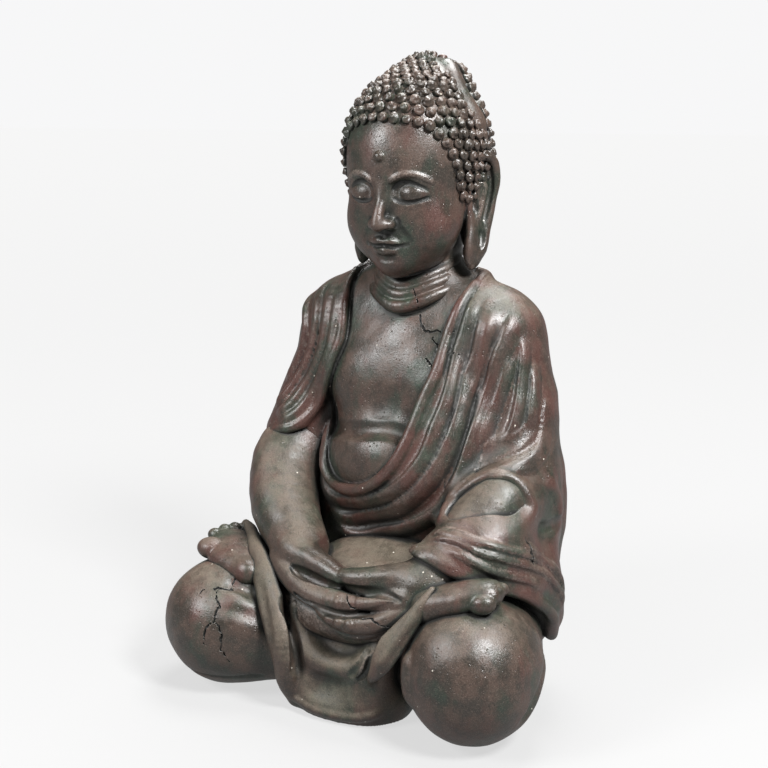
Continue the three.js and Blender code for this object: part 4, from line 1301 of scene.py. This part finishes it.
gloss = ramp(clouds, 0.3, 0.7, 0.29, 0.43)
gloss = maths("ADD", gloss, ramp(dusty, 0.1, 0.9, 0.0, 0.3))
gloss = maths("ADD", gloss, ramp(recess, 0.2, 0.8, 0.0, 0.2))
feed(shader.inputs["Roughness"], gloss)
shader.inputs["Specular IOR Level"].default_value = 0.7

pit_far, pit_pick = cells(260)
pits = maths("MULTIPLY", ramp(pit_far, 0.30, 0.05), ramp(pit_pick, 0.72, 0.80))
relief = weighted((grain, 0.3), (maths("ADD", mottle, brushed), 0.45))
height = maths("SUBTRACT", relief, maths("MULTIPLY", pits, 0.5))
bump = node("Bump", {"Distance": 0.0012, "Strength": 0.7, "Height": height})
feed(shader.inputs["Normal"], bump.outputs["Normal"])
for piece in pieces:
    piece.data.materials.append(patina)


# Stage: a pale floor, soft studio light, and the camera where the photographer stood

floor_mesh = bpy.data.meshes.new("floor")
FLOOR_HALF = 30
FLOOR_GREY = 0.12
NEAR_GLOW, FAR_GLOW, LAMP_REACH = 0.63, 0.90, 1.4
GLOW_ON_FIGURE = 0.35
floor_mesh.from_pydata([(x * FLOOR_HALF, y * FLOOR_HALF, 0) for x, y in (
    (-1, -1), (1, -1), (1, 1), (-1, 1))], [], [(0, 1, 2, 3)])
placed("floor", floor_mesh)
pale = bpy.data.materials.new("pale_floor")
pale.use_nodes = True
ground = pale.node_tree.nodes["Principled BSDF"]
for name, value in (("Base Color", (FLOOR_GREY, FLOOR_GREY, FLOOR_GREY, 1)), ("Roughness", 0.9),
                    ("Specular IOR Level", 0.1), ("Emission Color", (1, 1, 1, 1))):
    ground.inputs[name].default_value = value
# The floor's glow grows away from the lamps, so that it stays as pale as the backdrop
tree = pale.node_tree
reached = node("TexCoord", {}).outputs["Object"]
square = node("VectorMath", {0: reached, 1: reached}, operation="DOT_PRODUCT").outputs["Value"]
falloff = maths("MULTIPLY_ADD", square, 1 / LAMP_REACH ** 2, 1)
glow = maths("SUBTRACT", FAR_GLOW, maths("DIVIDE", FAR_GLOW - NEAR_GLOW, falloff))
# Only the camera sees the whole glow, so that the figure's undersides stay dark
seen = node("LightPath", {}).outputs["Is Camera Ray"]
share = node("MapRange", {"Value": seen, "To Min": GLOW_ON_FIGURE}).outputs["Result"]
feed(ground.inputs["Emission Strength"], maths("MULTIPLY", glow, share))
floor_mesh.materials.append(pale)

scene = bpy.context.scene
scene.view_settings.view_transform = "Standard"
world = bpy.data.worlds.new("studio")
scene.world = world
world.use_nodes = True
tree = world.node_tree
room = tree.nodes["Background"]
room.inputs["Color"].default_value = (1.0, 0.98, 0.95, 1)
room.inputs["Strength"].default_value = 0.15
paper = node("Background", {"Color": (0.93, 0.93, 0.935, 1)})
seen = node("LightPath", {}).outputs["Is Camera Ray"]
either = node("MixShader", {0: seen, 1: room.outputs[0], 2: paper.outputs[0]})
feed(tree.nodes["World Output"].inputs["Surface"], either.outputs[0])

AZIMUTH, ELEVATION = math.radians(29.4), math.radians(12.0)
DISTANCE = 1.468
LENS_PX = 1301
FRAME_PX = 768
SENSOR_MM = 36
AIM_RIGHT, AIM_Z = -0.037, 0.3337
back = Vector((math.sin(AZIMUTH) * math.cos(ELEVATION), -math.cos(AZIMUTH) * math.cos(ELEVATION),
               math.sin(ELEVATION)))
right = Vector((math.cos(AZIMUTH), math.sin(AZIMUTH), 0))
target = right * AIM_RIGHT + Vector((0, 0, AIM_Z))
camera_data = bpy.data.cameras.new("camera")
camera_data.sensor_width = SENSOR_MM
camera_data.lens = SENSOR_MM * LENS_PX / FRAME_PX
camera = placed("camera", camera_data)
camera.location = target + back * DISTANCE
camera.rotation_euler = (-back).to_track_quat("-Z", "Y").to_euler()
scene.camera = camera
FIGURE_MIDDLE = 0.35


def area_light(name, along, across, height, power, size):
    """A square soft light, placed by how far it is along and across the camera's line."""
    data = bpy.data.lights.new(name, "AREA")
    data.energy = power
    data.size = size
    light = placed(name, data)
    light.location = back * along + right * across + Vector((0, 0, height))
    aim = Vector((0, 0, FIGURE_MIDDLE)) - light.location
    light.rotation_euler = aim.to_track_quat("-Z", "Y").to_euler()


area_light("key", 1.35, 0.95, 1.65, 90, 0.55)
area_light("fill", 0.9, -1.6, 1.25, 34, 0.6)
area_light("top", -0.45, 0.2, 2.1, 40, 0.8)
